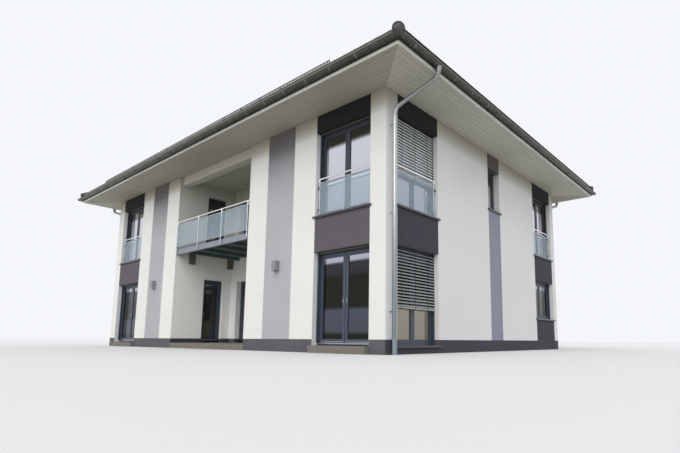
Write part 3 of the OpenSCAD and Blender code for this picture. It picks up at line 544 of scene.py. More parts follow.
# Solar control coating on float glass, drawn in bands by height as painted reflection and painted shade:
# bright where sky is behind the viewer, dark before the rooms, and a dark band of the eaves at the top
PANE = HeightTone("door_glass_painted_reflections", "", "", 1, 900, 0.1, 0.06, 1.0, levels=(
    (0.0, "23261f"), (0.42, "2a2c27"), (0.50, "4f535c"), (0.98, "545763"), (1.06, "2c2b27"),
    (1.75, "2b2a26"), (1.88, "3a393e"), (2.10, "3d3c42"), (2.15, "b2b4c0"), (2.41, "b8bac6"),
    (3.30, "cdcdd7"), (5.01, "d1d1da"), (5.08, "64625d"), (6.00, "5c5a55")))
# Coated window glass with painted reflections, as the door glass, and a paler painted reflection in the
# lowest panes
WINDOW_PANE = HeightTone("window_glass_painted_reflections", "", "", 1, 900, 0.1, 0.06, 1.0, levels=(
    (0.0, "8b8578"), (0.98, "928d82"), (1.06, "55564f"), (1.75, "5a5b54"), (2.10, "6f7072"), (2.15, "b2b4c0"),
    (2.41, "b8bac6"), (3.30, "cdcdd7"), (5.01, "d1d1da"), (5.08, "64625d"), (6.00, "5c5a55")))
# The same glass in the loggia, tinted as a painted reflection of the loggia walls, darker towards the top as
# painted shade
SHELTERED_PANE = HeightTone("sheltered_glass", "", "", 1, 900, 0.1, 0.06, 1.0, levels=(
    (0.0, "a2a39f"), (2.50, "9b9c98"), (3.30, "8c8d88"), (6.00, "6f6e68")))
# Folded aluminium sill, powder coated dark: its smooth top catches the sky
SILL_COAT = Finish("folded_aluminium_sill", "3a3c42", "34363c", 300, 3, 0.1, 0.28, coat=0.3)
# Brushed aluminium of weather bars and nosings: bright, with fine lines along the bar
WEATHER_BAR = Finish("brushed_aluminium", "b3b8c0", "a8adb6", 60, 3, 0.1, 0.35, 1.0, Grain.ALONG_X)
# Grey anodised threshold profile: dull, with drawing lines along it
THRESHOLD = Finish("anodised_threshold_grey", "454b57", "3e444f", 60, 3, 0.1, 0.4, 1.0, Grain.ALONG_X)
# Flamed stone: crystals and small pits from the flame
STEP_STONE = Finish("flamed_stone_slab", "827e77", "6b6760", 30, 8, 1.6, 0.85, grain=Grain.PITTED)
# Painted steel channel of the balcony: smooth blue-grey with a soft sheen
BALCONY_STEEL = Finish("painted_channel_steel", "8a92a0", "818997", 250, 6, 0.3, 0.45)
# Painted joists and deck underside: dull green-grey
JOIST_STEEL = Finish("painted_joist_steel", "546967", "4a5e5c", 250, 6, 0.3, 0.5)
# Primed brackets: flat brown-grey, brushed on a little unevenly
BRACKET_STEEL = Finish("primed_bracket_steel", "746c61", "696156", 250, 6, 0.3, 0.6)
# Satin stainless steel: brushed posts, and polished handrails drawn nearly white above 4.2 m as a painted
# reflection of the sky
STAINLESS = HeightTone("satin_stainless_steel", "", "", 80, 2, 0.05, 0.24, 1.0, levels=(
    (0.0, "b4b8be"), (4.10, "b4b8be"), (4.20, "d8dade"), (4.22, "f6f7f9"), (6.00, "f6f7f9")))
# Laminated glass, faintly blue: lets the sills and frames behind it show through; its pale blue colour is
# partly the glass's tint and partly a painted reflection of the sky
RAIL_GLASS = Finish("laminated_railing_glass", "c6dbea", "bed4e5", 1500, 600, 0.05, 0.05, 0.0, alpha=0.26)
# Painted spruce boards: faint grain along each board
SOFFIT_ALONG_X = Finish(
    "painted_spruce_boards_long", "b2afa6", "acaaa0", 60, 8, 0.12, 0.6, grain=Grain.ALONG_X)
# The same boards under the side eaves, drawn paler than the long runs: painted light
SOFFIT_ALONG_Y = Finish(
    "painted_spruce_boards_short", "cccbc5", "c7c6c0", 60, 8, 0.12, 0.6, grain=Grain.ALONG_Y)
# The same boards in the loggia's shade, drawn paler than under the eaves: painted light
CEILING_WOOD = Finish("shaded_spruce_boards", "cfcec2", "c8c7ba", 60, 8, 0.12, 0.65, grain=Grain.ALONG_X)
# Painted fascia: a glossier white coat that takes a bright line of sky
FASCIA_WOOD = Finish("painted_spruce_fascia", "ffffff", "fdfdfc", 200, 8, 0.12, 0.3, coat=1.0)
# Sawn spruce of the wall plates: warm, with coarse grain
ROOF_TIMBER = Finish("sawn_spruce", "b59a72", "a3875f", 150, 5, 0.4, 0.75, grain=Grain.ALONG_X)
# Coil coated slats: thin lacquer with a dull shine, drawn darker on the lower blinds and paler on the upper
# ones: painted light and shade
SLAT_COAT = HeightTone("coil_coated_slat", "", "", 400, 4, 0.05, 0.42, levels=(
    (0.0, "a9adaf"), (2.60, "a9adaf"), (3.50, "dadee0"), (6.00, "dadee0")))
# Extruded and coated bottom rail: even light grey
RAIL_COAT = Finish("extruded_blind_rail", "a4a7a9", "9b9ea1", 300, 4, 0.05, 0.4, grain=Grain.ALONG_Y)
# The same rail raised into the shade of the box, drawn grey-olive: painted shade
RAISED_RAIL = Finish("extruded_blind_rail_painted_shade", "66655c", "5e5d55", 300, 4, 0.05, 0.4, grain=Grain.ALONG_X)
# Woven ladder tape: matt dark line over the slats
TAPE_CLOTH = Finish("woven_ladder_tape", "2e3032", "26282a", 20, 2, 0.2, 0.8)
# Engobed clay: dull brown-black slip that fires a little unevenly
ROOF_TILE = TileFinish("engobed_clay_tile", "5b564d", "464239", 160, 4, 0.4, 0.5)
# Engobed clay caps: darker and bluer, with a dull shine
CAP_TILE = TileFinish("engobed_clay_cap", "393a41", "2c2d32", 160, 4, 0.4, 0.45, cover_mm=360)
# Weathered zinc: grey-olive patina with faint crystals
GUTTER_ZINC = Finish("weathered_zinc_sheet", "51514c", "484843", 120, 5, 0.1, 0.30, 1.0)
# Gutter straps: zinc kept brighter where it was bent
STRAP_ZINC = Finish("bright_strap_zinc", "8a8e8c", "7e8280", 60, 4, 0.1, 0.35, 1.0)
# Painted eaves flashing: dull brown-grey
FLASHING = Finish("painted_eaves_flashing", "6c685f", "605d54", 150, 5, 0.1, 0.5)
# Zinc pipe drawn in bands by height: a brighter standpipe, bluish and duller above it, a painted highlight
# bright in the middle, painted shade dark under the eaves
PIPE_ZINC = HeightTone("zinc_pipe_painted_light_and_shade", "", "", 90, 5, 0.1, 0.34, 1.0, levels=(
    (0.0, "8c959c"), (0.34, "8f989f"), (0.36, "7f8890"), (1.30, "828b93"), (2.10, "92999c"),
    (2.80, "a8adaf"), (3.40, "bdc1bf"), (5.30, "bdc1bf"), (5.50, "969b99"), (6.00, "8f9492")))
# Powder coated cast aluminium of the wall lights: fine grey grit
LIGHT_METAL = Finish("coated_cast_aluminium", "8b8f96", "82868d", 60, 2, 0.1, 0.42)
# Opal glass lens: milky and smooth
LAMP_GLASS = Finish("opal_lamp_glass", "dcdcd6", "d3d3cd", 50, 3, 0.05, 0.3)
# Painted snow guard lattice: dull brown-grey
GUARD_METAL = Finish("painted_snow_guard", "54534f", "484744", 80, 3, 0.1, 0.5)
# Satin door handle: bright metal with a soft shine
HANDLE_METAL = Finish("satin_door_handle", "b4b6ba", "a9abb0", 30, 2, 0.05, 0.3, 1.0)

NODE_FINISH = {
    WHITE_RENDER: ("corner_piers", "front_wall", "rear_wall", "side_walls", "ceiling_slab"),
    LOGGIA_RENDER: ("loggia_side_walls", "loggia_back_wall", "loggia_lintels"),
    GREY_RENDER: ("grey_stripes",),
    DARK_RENDER: ("dark_panels",),
    PLINTH_RENDER: ("plinth_blocks", "plinth_runs"),
    CONCRETE: ("upper_floor",),
    LOGGIA_STONE: ("ground_floor",),
    BOX_METAL: ("blind_boxes",),
    FRAME_COAT: ("window_frames", "window_sashes", "door_jambs", "door_heads", "right_door_leaf_a",
                 "right_door_leaf_b", "left_door_leaf_a", "left_door_leaf_b", "loggia_side_door_leaf",
                 "loggia_back_door_leaf", "roller_blinds"),
    WINDOW_PANE: ("window_glass",),
    PANE: ("right_door_glass_a", "right_door_glass_b", "left_door_glass_a", "left_door_glass_b"),
    SHELTERED_PANE: ("loggia_side_door_glass", "loggia_back_door_glass"),
    SILL_COAT: ("window_sills",),
    THRESHOLD: ("door_thresholds",),
    STEP_STONE: ("door_steps",),
    BALCONY_STEEL: ("balcony_channel",),
    JOIST_STEEL: ("balcony_joists", "balcony_floor"),
    BRACKET_STEEL: ("balcony_brackets",),
    STAINLESS: ("railings",),
    RAIL_GLASS: ("railing_glass",),
    SOFFIT_ALONG_X: ("soffit_boards",),
    FASCIA_WOOD: ("fascia_boards",),
    ROOF_TIMBER: ("wall_plates",),
    ROOF_TILE: ("roof_front_slope", "roof_rear_slope", "roof_right_hip", "roof_left_hip"),
    CAP_TILE: ("ridge_cap", "hip_caps"),
    GUARD_METAL: ("snow_guards",),
    GUTTER_ZINC: ("gutters",),
    PIPE_ZINC: ("downpipes",),
    LIGHT_METAL: ("wall_lights",),
}


def dress(node: str, finish: Finish) -> None:
    """Gives a node of the frame its finish.

    Args:
        node: Name of the node.
        finish: Finish that covers it.
    """
    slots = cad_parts[node].data.materials
    slots.clear()
    slots.append(finish.material())


# Outer faces of the walls, the slopes' edges and the levels that the frame holds
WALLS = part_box("corner_piers")
HALF_W, HALF_D = WALLS[1][0], WALLS[1][1]
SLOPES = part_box("roof_front_slope")
ROOF_X, ROOF_Y = SLOPES[1][0], -SLOPES[0][1]
RIDGE_HALF = ROOF_X - ROOF_Y
RIDGE_Z = SLOPES[1][2]
PITCH_DEG = 22
PITCH = math.radians(PITCH_DEG)
ROOF_EAVE_Z = RIDGE_Z - ROOF_Y * math.tan(PITCH)
SOFFIT_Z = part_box("ceiling_slab")[0][2]
LOGGIA_BACK_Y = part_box("loggia_back_wall")[0][1]
# Middles and widths of the openings
LOGGIA_HALF, SIDE_DOOR_Y, LOGGIA_DOOR_WIDTH = 2.105, -3.600, 0.770
BACK_WIDTH, BACK_LEAF_WIDTH = 3.500, 0.875
BAY_X, BAY_WIDTH = 5.8275, 1.805
SIDE_BAY_FRONT_Y, SIDE_BAY_REAR_Y, SIDE_BAY_WIDTH = -3.850, 3.920, 1.650
NARROW_Y, NARROW_WIDTH = 0.090, 0.750
# Levels of the floor, the plinth, and the sills and heads of both storeys
FLOOR_TOP, PLINTH_TOP, SHORT_SILL, LOW_HEAD = 0.170, 0.315, 1.060, 2.410
UPPER_SILL, NARROW_SILL, UPPER_HEAD = 3.285, 4.180, 5.460
# Depths of the frames behind the wall face, and widths of the frame and sash bars
REVEAL, LOGGIA_REVEAL, WALL = 0.190, 0.140, 0.365
FRAME_FACE, SASH_FACE, SASH_GAP = 0.060, 0.070, 0.004


class Facade(Enum):
    """Wall face by the turn and place of its own frame: X rightwards seen from outside, Y inwards."""

    FRONT = (0, 0.0, -HALF_D)
    RIGHT = (90, HALF_W, 0.0)
    REAR = (180, 0.0, HALF_D)
    LEFT = (-90, -HALF_W, 0.0)
    LOGGIA_BACK = (0, 0.0, LOGGIA_BACK_Y)
    LOGGIA_LEFT = (90, -LOGGIA_HALF, SIDE_DOOR_Y)
    LOGGIA_RIGHT = (-90, LOGGIA_HALF, SIDE_DOOR_Y)

    def place(self) -> Matrix:
        """Matrix from the face's own frame to the house."""
        turn, x, y = self.value
        return Matrix.Translation((x, y, 0)) @ turned(turn)

    def box_of(self, node: str) -> tuple[float, float, float, float, float]:
        """Reads the box of a node in the face's own frame.

        Args:
            node: Name of the node.

        Returns:
            Left, right, bottom, top and the depth of the outer face.
        """
        back = self.place().inverted()
        near, far = (back @ Vector(corner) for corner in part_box(node))
        return min(near.x, far.x), max(near.x, far.x), near.z, far.z, min(near.y, far.y)


# Face of each door leaf, and 1 where its handle is on the right seen from outside, -1 on the left
LEAVES = {
    "right_door_a": (Facade.FRONT, 1), "left_door_a": (Facade.FRONT, 1), "right_door_b": (Facade.FRONT, -1),
    "left_door_b": (Facade.FRONT, -1), "loggia_side_door": (Facade.LOGGIA_LEFT, -1),
    "loggia_back_door": (Facade.LOGGIA_BACK, 1)}


def leaf_node(body: str, part: str) -> str:
    """Name of the node that holds a part of a door leaf, such as its glass."""
    return f"{body}_{part}" if "loggia" in body else body.replace("door_", f"door_{part}_")


def four_sides(x: float, y: float) -> list[tuple[int, bool, float, float]]:
    """Turn, whether it is long, half length and reach of the front, rear, right and left side."""
    return [(0, True, x, y), (180, True, x, y), (90, False, y, x), (-90, False, y, x)]


@dataclass(frozen=True)
class Opening:
    """A glazed opening in a facade."""

    facade: Facade
    middle: float
    width: float
    low: float
    high: float
    sashes: int = 2
    depth: float = REVEAL
    blind: bool = False

    def panes(self) -> list[tuple[float, float, float, float]]:
        """Lists the panes.

        Returns:
            Left, right, bottom and top of each pane in the facade's frame.
        """
        bars = FRAME_FACE + SASH_FACE
        step = (self.width - 2 * FRAME_FACE) / self.sashes
        half = (step - (SASH_GAP if self.sashes > 1 else 0.0)) / 2 - SASH_FACE
        first = self.middle - self.width / 2 + FRAME_FACE + step / 2
        return [(first + i * step - half, first + i * step + half, self.low + bars, self.high - bars)
                for i in range(self.sashes)]


def all_openings() -> list[Opening]:
    """Lists the windows of the house.

    Returns:
        Every opening of the window nodes.
    """
    found = []
    bays = [(Facade.FRONT, x, BAY_WIDTH) for x in (-BAY_X, BAY_X)]
    bays += [(Facade.REAR, x, BAY_WIDTH) for x in (-BAY_X, 0.0, BAY_X)]
    for facade, sign in ((Facade.RIGHT, 1), (Facade.LEFT, -1)):
        front, rear = sign * SIDE_BAY_FRONT_Y, sign * SIDE_BAY_REAR_Y
        bays += [(facade, y, SIDE_BAY_WIDTH) for y in (front, rear)]
        found.append(Opening(facade, front, SIDE_BAY_WIDTH, FLOOR_TOP, LOW_HEAD, blind=True))
        found.append(Opening(facade, rear, SIDE_BAY_WIDTH, SHORT_SILL, LOW_HEAD, blind=True))
        found.append(Opening(facade, sign * NARROW_Y, NARROW_WIDTH, NARROW_SILL, UPPER_HEAD, 1))
    found += [Opening(facade, x, width, UPPER_SILL, UPPER_HEAD, blind=True) for facade, x, width in bays]
    found += [Opening(Facade.REAR, x, BAY_WIDTH, SHORT_SILL, LOW_HEAD, blind=True)
              for x in (-BAY_X, 0.0, BAY_X)]
    doors = ((Facade.LOGGIA_LEFT, UPPER_SILL, UPPER_HEAD), (Facade.LOGGIA_RIGHT, UPPER_SILL, UPPER_HEAD),
             (Facade.LOGGIA_RIGHT, FLOOR_TOP, LOW_HEAD))
    found += [Opening(face, 0.0, LOGGIA_DOOR_WIDTH, low, high, 1, LOGGIA_REVEAL)
              for face, low, high in doors]
    found.append(Opening(Facade.LOGGIA_BACK, 0.0, BACK_WIDTH, UPPER_SILL, UPPER_HEAD, 4))
    found.append(Opening(Facade.LOGGIA_BACK, BACK_LEAF_WIDTH / 2, BACK_WIDTH - BACK_LEAF_WIDTH, FLOOR_TOP,
                         LOW_HEAD, 3))
    return found


@dataclass
class RoofTiles:
    """Flat interlocking clay tiles in straight courses on the four slopes."""

    cover: float = 0.300
    gauge: float = 0.345
    lap: float = 0.075
    thickness: float = 0.013
    bed: float = -0.006
    front_overhang: float = 0.004
    side_overhang: float = 0.046
    side_bed: float = 0.008
    tail_lift: float = 1.15
    profile_mm: tuple = ((0, 0), (10, 4), (26, 4), (36, 0), (170, -1), (304, 0))

    def field_of(self, half: float, overhang: float, bed: float) -> Form:
        """Lays courses of tiles in a slope's own frame, X along the eaves and Y up the slope.

        Args:
            half: Half the length of the eaves.
            overhang: Reach of the first course past the eaves.
            bed: Height of the tiles' undersides over the slope.

        Returns:
            The tiles as one mesh, not yet cut to the slope.
        """
        form = bmesh.new()
        points = self.profile_mm
        bmesh.ops.create_grid(form, x_segments=len(points) - 1, y_segments=1, size=0.5)
        lift = self.thickness * self.tail_lift
        length = self.gauge + self.lap
        for vert in form.verts:
            across, height = points[round((vert.co.x + 0.5) * (len(points) - 1))]
            up = (vert.co.y + 0.5) * length
            vert.co = (across * MM, up, height * MM + bed + self.thickness + lift * (1 - up / self.gauge))
        thicken(form, self.thickness, upwards=True)
        columns = math.ceil(2 * half / self.cover)
        slant = ROOF_Y / math.cos(PITCH)
        courses = math.ceil((slant + overhang) / self.gauge)
        bmesh.ops.translate(form, verts=form.verts[:], vec=(-columns * self.cover / 2, -overhang, 0))
        repeat(form, (self.cover, 0, 0), columns - 1)
        repeat(form, (0, self.gauge, 0), courses - 1)
        return form

    def build(self) -> None:
        """Lays, places and cuts the tiles of each slope."""
        names = ("front", "rear", "right", "left")
        for name, (turn, long_side, half, reach) in zip(names, four_sides(ROOF_X, ROOF_Y)):
            overhang = self.front_overhang if long_side else self.side_overhang
            form = self.field_of(half, overhang, self.bed if long_side else self.side_bed)
            move(form, Matrix.Translation((0, -reach, ROOF_EAVE_Z)) @ turned(PITCH_DEG, "X"))
            for side in (-1, 1):
                cut(form, (side * half, -reach, 0), (side, 1, 0))
            if long_side:
                cut(form, (0, 0, 0), (0, 1, 0))
            move(form, turned(turn))
            piece(f"roof_tiles_{name}", form, ROOF_TILE)


@dataclass
class RoofCaps:
    """Overlapping half-round caps on the hips and the ridge, with round ends."""

    radius: float = 0.128
    head_radius: float = 0.114
    tail_band: float = 0.045
    shell: float = 0.013
    length: float = 0.42
    exposed: float = 0.36
    skirt: float = 0.040
    axis_lift: float = 0.005
    ball: float = 0.172
    rim: float = 0.126
    end_drop: float = 0.028
    foot_drop: float = 0.030
    corner_reach: float = 0.015

    def shell_form(self) -> Form:
        """Makes one cap, its axis along X from the wide tail at 0 and its crown towards +Z.

        Returns:
            The cap as a closed mesh.
        """
        form = bmesh.new()
        for near, far, end in ((self.radius - 0.006, self.head_radius - 0.006, self.length),
                               (self.radius + 0.001, self.radius - 0.001, self.tail_band)):
            bmesh.ops.create_cone(form, cap_ends=False, segments=20, radius1=near, radius2=far, depth=end,
                                  matrix=Matrix.Translation((end / 2, 0, 0)) @ turned(90, "Y"))
        bmesh.ops.bisect_plane(form, geom=everything(form), dist=1e-6, plane_co=(0, 0, -self.skirt),
                               plane_no=(0, 0, -1), clear_outer=True)
        thicken(form, self.shell)
        return form

    def run(self, start: Vector, end: Vector, ended: bool) -> Form:
        """Lays caps from the lower end of a line to its upper end.

        Args:
            start: Lower end of the axis.
            end: Upper end of the axis.
            ended: Whether the lower end is closed with a round end piece.

        Returns:
            The caps as one mesh.
        """
        form = self.shell_form()
        way = end - start
        repeat(form, (self.exposed, 0, 0), math.ceil(way.length / self.exposed) - 1)
        cut(form, (way.length, 0, 0), (1, 0, 0))
        if ended:
            rod(form, (-0.020, 0, -self.end_drop), (0.050, 0, -self.end_drop), self.rim, 28)
            flat = Matrix.LocRotScale((-0.014, 0, -self.end_drop), None, (0.40, 1, 1))
            bmesh.ops.create_uvsphere(form, u_segments=28, v_segments=14, radius=self.rim - 0.014,
                                      matrix=flat)
        along = way.normalized()
        across = Vector((0, 0, 1)).cross(way).normalized()
        laid = Matrix((along, across, along.cross(across))).transposed().to_4x4()
        move(form, Matrix.Translation(start) @ laid)
        return form

    def build(self) -> None:
        """Builds the hips, the ridge and the balls at its ends."""
        form = bmesh.new()
        reach = ROOF_Y + self.corner_reach
        top = RIDGE_Z + self.axis_lift
        foot = top - reach * math.tan(PITCH) - self.foot_drop
        for along in (-1, 1):
            for side in (-1, 1):
                low = Vector((along * (RIDGE_HALF + reach), side * reach, foot))
                join(form, self.run(low, Vector((along * RIDGE_HALF, 0, top)), True))
            bmesh.ops.create_uvsphere(form, u_segments=24, v_segments=14, radius=self.ball,
                                      matrix=Matrix.Translation((along * RIDGE_HALF, 0, top)))
        piece("hip_tiles", form, CAP_TILE, replaces=("hip_caps",))
        form = self.run(Vector((-RIDGE_HALF, 0, top)), Vector((RIDGE_HALF, 0, top)), False)
        piece("ridge_tiles", form, CAP_TILE, replaces=("ridge_cap",))


@dataclass
class Soffit:
    """Tongue-and-groove boards under the eaves, mitred at the corners, and in the loggia."""

    boards: int = 9
    joint: float = 0.004
    ease: float = 0.003
    thickness: float = 0.019
    ceiling_board: float = 0.121

    def build(self) -> None:
        """Builds the boards of the four runs and the loggia ceiling."""
        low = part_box("soffit_boards")[0]
        edge_x, edge_y, z = -low[0], -low[1], low[2]
        for name, turns, half, inner, outer, wall, finish in (
                ("long", (0, 180), edge_x, HALF_D, edge_y, HALF_W, SOFFIT_ALONG_X),
                ("short", (90, -90), edge_y, HALF_W, edge_x, HALF_D, SOFFIT_ALONG_Y)):
            whole = bmesh.new()
            for turn in turns:
                form = bmesh.new()
                step = (outer - inner) / self.boards
                for index in range(self.boards):
                    far = inner + (index + 1) * step
                    block(form, (-half, -far, z), (half, -far + step - self.joint, z + self.thickness),
                          self.ease)
                for side in (-1, 1):
                    cut(form, (side * (wall - 0.001), -inner, 0), (side * (outer - inner), half - wall, 0))
                join(whole, form, turned(turn))
            piece(f"soffit_planks_{name}", whole, finish, replaces=("soffit_boards",))
        form = bmesh.new()
        start, stop = -HALF_D + WALL + 0.001, LOGGIA_BACK_Y - 0.001
        count = int((stop - start) / self.ceiling_board)
        step = (stop - start) / count
        block(form, (-LOGGIA_HALF + 0.001, start, SOFFIT_Z - 0.022),
              (LOGGIA_HALF - 0.001, start + step - self.joint, SOFFIT_Z - 0.001), self.ease)
        repeat(form, (0, step, 0), count - 1)
        piece("loggia_ceiling_boards", form, CEILING_WOOD)


@dataclass
class SnowGuards:
    """Lattice snow guards over the front and rear eaves."""

    pitch: float = 0.055
    bar: float = 0.034
    strip: float = 0.004
    rail: float = 0.006
    rail_height: float = 0.020
    foot: float = 0.014
    brackets: int = 15

    def build(self) -> None:
        """Builds both guards with rails, bars and brackets."""
        low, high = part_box("snow_guards")
        form = bmesh.new()
        count = int((high[0] - low[0]) / self.pitch)
        y = high[1] - self.foot
        z_low, z_high = low[2] + self.foot, high[2]
        start = low[0]
        for side in (-1, 1):
            line = bmesh.new()
            block(line, (start - self.bar / 2, side * y - self.strip / 2, z_low),
                  (start + self.bar / 2, side * y + self.strip / 2, z_high))
            repeat(line, ((high[0] - start) / count, 0, 0), count)
            for z in (z_low, z_high - self.rail_height):
                block(line, (start, side * y - self.rail, z),
                      (high[0], side * y + self.rail, z + self.rail_height), 0.002)
            join(form, line)
            feet = bmesh.new()
            block(feet, (start + 0.057, side * y - 0.008, z_low - self.foot),
                  (start + 0.063, side * y + 0.008, z_high), 0.002)
            repeat(feet, ((high[0] - start - 0.12) / self.brackets, 0, 0), self.brackets)
            join(form, feet)
        piece("snow_guard_lattice", form, GUARD_METAL, replaces=("snow_guards",))


@dataclass
class EavesFlashing:
    """Strip that leads from the slopes into the gutters."""

    sheet: float = 0.0015
    on_slope: float = 0.12
    upright: float = 0.255
    side_lean: float = 0.036
    spare: float = 0.04
    off_edge: float = 0.003
    lift: float = 0.002

    def build(self) -> None:
        """Bends one strip for each side of the roof and mitres them."""
        whole = bmesh.new()
        for turn, long_side, half, reach in four_sides(ROOF_X, ROOF_Y):
            form = bmesh.new()
            bmesh.ops.create_grid(form, x_segments=1, y_segments=2, size=0.5)
            for vert in form.verts:
                vert.co.x *= 2 * half + self.spare
                row = round(vert.co.y * 2) + 1
                vert.co.y = -reach - self.off_edge + (self.on_slope * math.cos(PITCH) if row == 2 else 0)
                vert.co.z = ROOF_EAVE_Z + self.lift
                if row == 0:
                    vert.co.z -= self.upright
                if row == 1 and not long_side:
                    vert.co.y -= self.side_lean
                    vert.co.z -= self.side_lean * math.tan(PITCH)
                if row == 2:
                    vert.co.z += self.on_slope * math.sin(PITCH)
            thicken(form, self.sheet)
            for side in (-1, 1):
                cut(form, (side * half, -reach, 0), (side, 1, 0))
            join(whole, form, turned(turn))
        piece("eaves_flashing", whole, FLASHING)


@dataclass
class GutterStraps:
    """Bright straps that hold the gutters, bent round them from the bead to the fascia."""

    pitch: float = 0.755
    shift_long: float = 0.170
    shift_short: float = -0.100
    width: float = 0.018
    radius: float = 0.0735
    sheet: float = 0.003
    axis_inset: float = 0.0765
    axis_height: float = 0.070

    def build(self) -> None:
        """Bends one strap and repeats it along the four gutters."""
        low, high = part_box("gutters")
        axis_x, axis_y, z = high[0] - self.axis_inset, high[1] - self.axis_inset, low[2] + self.axis_height
        whole = bmesh.new()
        for turn, long_side, half, reach in four_sides(axis_x, axis_y):
            form = bmesh.new()
            count = int(2 * (half - 0.30) / self.pitch)
            start = ((self.shift_long if long_side else self.shift_short) - count * self.pitch / 2, -reach, z)
            place = Matrix.Translation(start) @ turned(90, "Y")
            bmesh.ops.create_cone(form, cap_ends=False, segments=32, radius1=self.radius - self.sheet,
                                  radius2=self.radius - self.sheet, depth=self.width, matrix=place)
            bmesh.ops.bisect_plane(form, geom=everything(form), dist=1e-6, plane_co=(0, 0, z),
                                   plane_no=(0, 0, 1), clear_outer=True)
            thicken(form, self.sheet)
            block(form, (start[0] - self.width / 2, -reach - self.radius, z - 0.004),
                  (start[0] + self.width / 2, -reach - self.radius + 0.030, z + 0.014), 0.004, 2)
            repeat(form, (self.pitch, 0, 0), count)
            join(whole, form, turned(turn))
        piece("gutter_straps", whole, STRAP_ZINC)


@dataclass
class Downpipes:
    """Swept downpipes with outlets, elbow sleeves, clips and standpipes at the four corners."""

    radius: float = 0.047
    sleeve: float = 0.004
    sleeve_half: float = 0.025
    bend: float = 0.170
    neck: float = 0.175
    elbow: float = 0.130
    joint_level: float = 3.020
    stand: float = 0.062
    stand_top: float = 0.335
    collar: tuple = (0.300, 0.345)
    funnel: tuple = (0.030, 0.105)
    rose: float = 0.022
    clip_half: float = 0.014
    clip_levels: tuple = (0.900, 3.050, 5.050)
    front_bend: tuple = (0.110, 0.165)
    rear_bend: tuple = (0.230, 0.100)
    bend_level: float = 5.435
    front_outlet: tuple = (8.433, -4.875)
    rear_outlet: tuple = (HALF_W - 0.200, 6.223)

    def one(self, outlet: Vector, wall: Vector, face: Vector) -> Form:
        """Builds one pipe.

        Args:
            outlet: Top of the pipe under the gutter.
            wall: Axis of the upright pipe at its upper bend.
            face: Point of the wall behind the upright pipe, at any level.

        Returns:
            The pipe as one mesh.
        """
        form = bmesh.new()
        up = Vector((0, 0, 1))
        knee = outlet - up * self.neck
        foot = Vector((wall.x, wall.y, 0.0))
        tube(form, [outlet, knee, wall, foot + up * 0.02], self.radius, self.bend)
        rod(form, outlet + up * self.funnel[0], outlet - up * self.funnel[1], self.radius + 0.028, 24,
            self.radius + 0.003)
        slant = (wall - knee).normalized()
        for point, way in ((knee + slant * self.elbow, slant), (wall - slant * self.elbow, slant),
                           (wall - up * self.elbow, -up), (foot + up * self.joint_level, -up)):
            rod(form, point - way * self.sleeve_half, point + way * self.sleeve_half,
                self.radius + self.sleeve, 24)
        rod(form, foot, foot + up * self.stand_top, self.stand, 24)
        rod(form, foot + up * self.collar[0], foot + up * self.collar[1], self.stand + 0.006, 24)
        for level in self.clip_levels:
            axis, back = foot + up * level, face + up * level
            rod(form, axis - up * self.clip_half, axis + up * self.clip_half, self.radius + 0.006, 24)
            rod(form, axis, back, 0.007)
            rod(form, back, back + (axis - back).normalized() * 0.010, self.rose, 16)
        return form

    def build(self) -> None:
        """Builds the four pipes."""
        outlet_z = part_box("gutters")[0][2] + 0.003
        out, along = self.front_bend
        bend = Vector((HALF_W + out, -HALF_D + along, self.bend_level))
        form = self.one(Vector((*self.front_outlet, outlet_z)), bend, Vector((HALF_W, bend.y, 0)))
        along, out = self.rear_bend
        bend = Vector((HALF_W - along, HALF_D + out, self.bend_level))
        join(form, self.one(Vector((*self.rear_outlet, outlet_z)), bend, Vector((bend.x, HALF_D, 0))))
        mirror_over(form)
        piece("zinc_downpipes", form, PIPE_ZINC, replaces=("downpipes",))


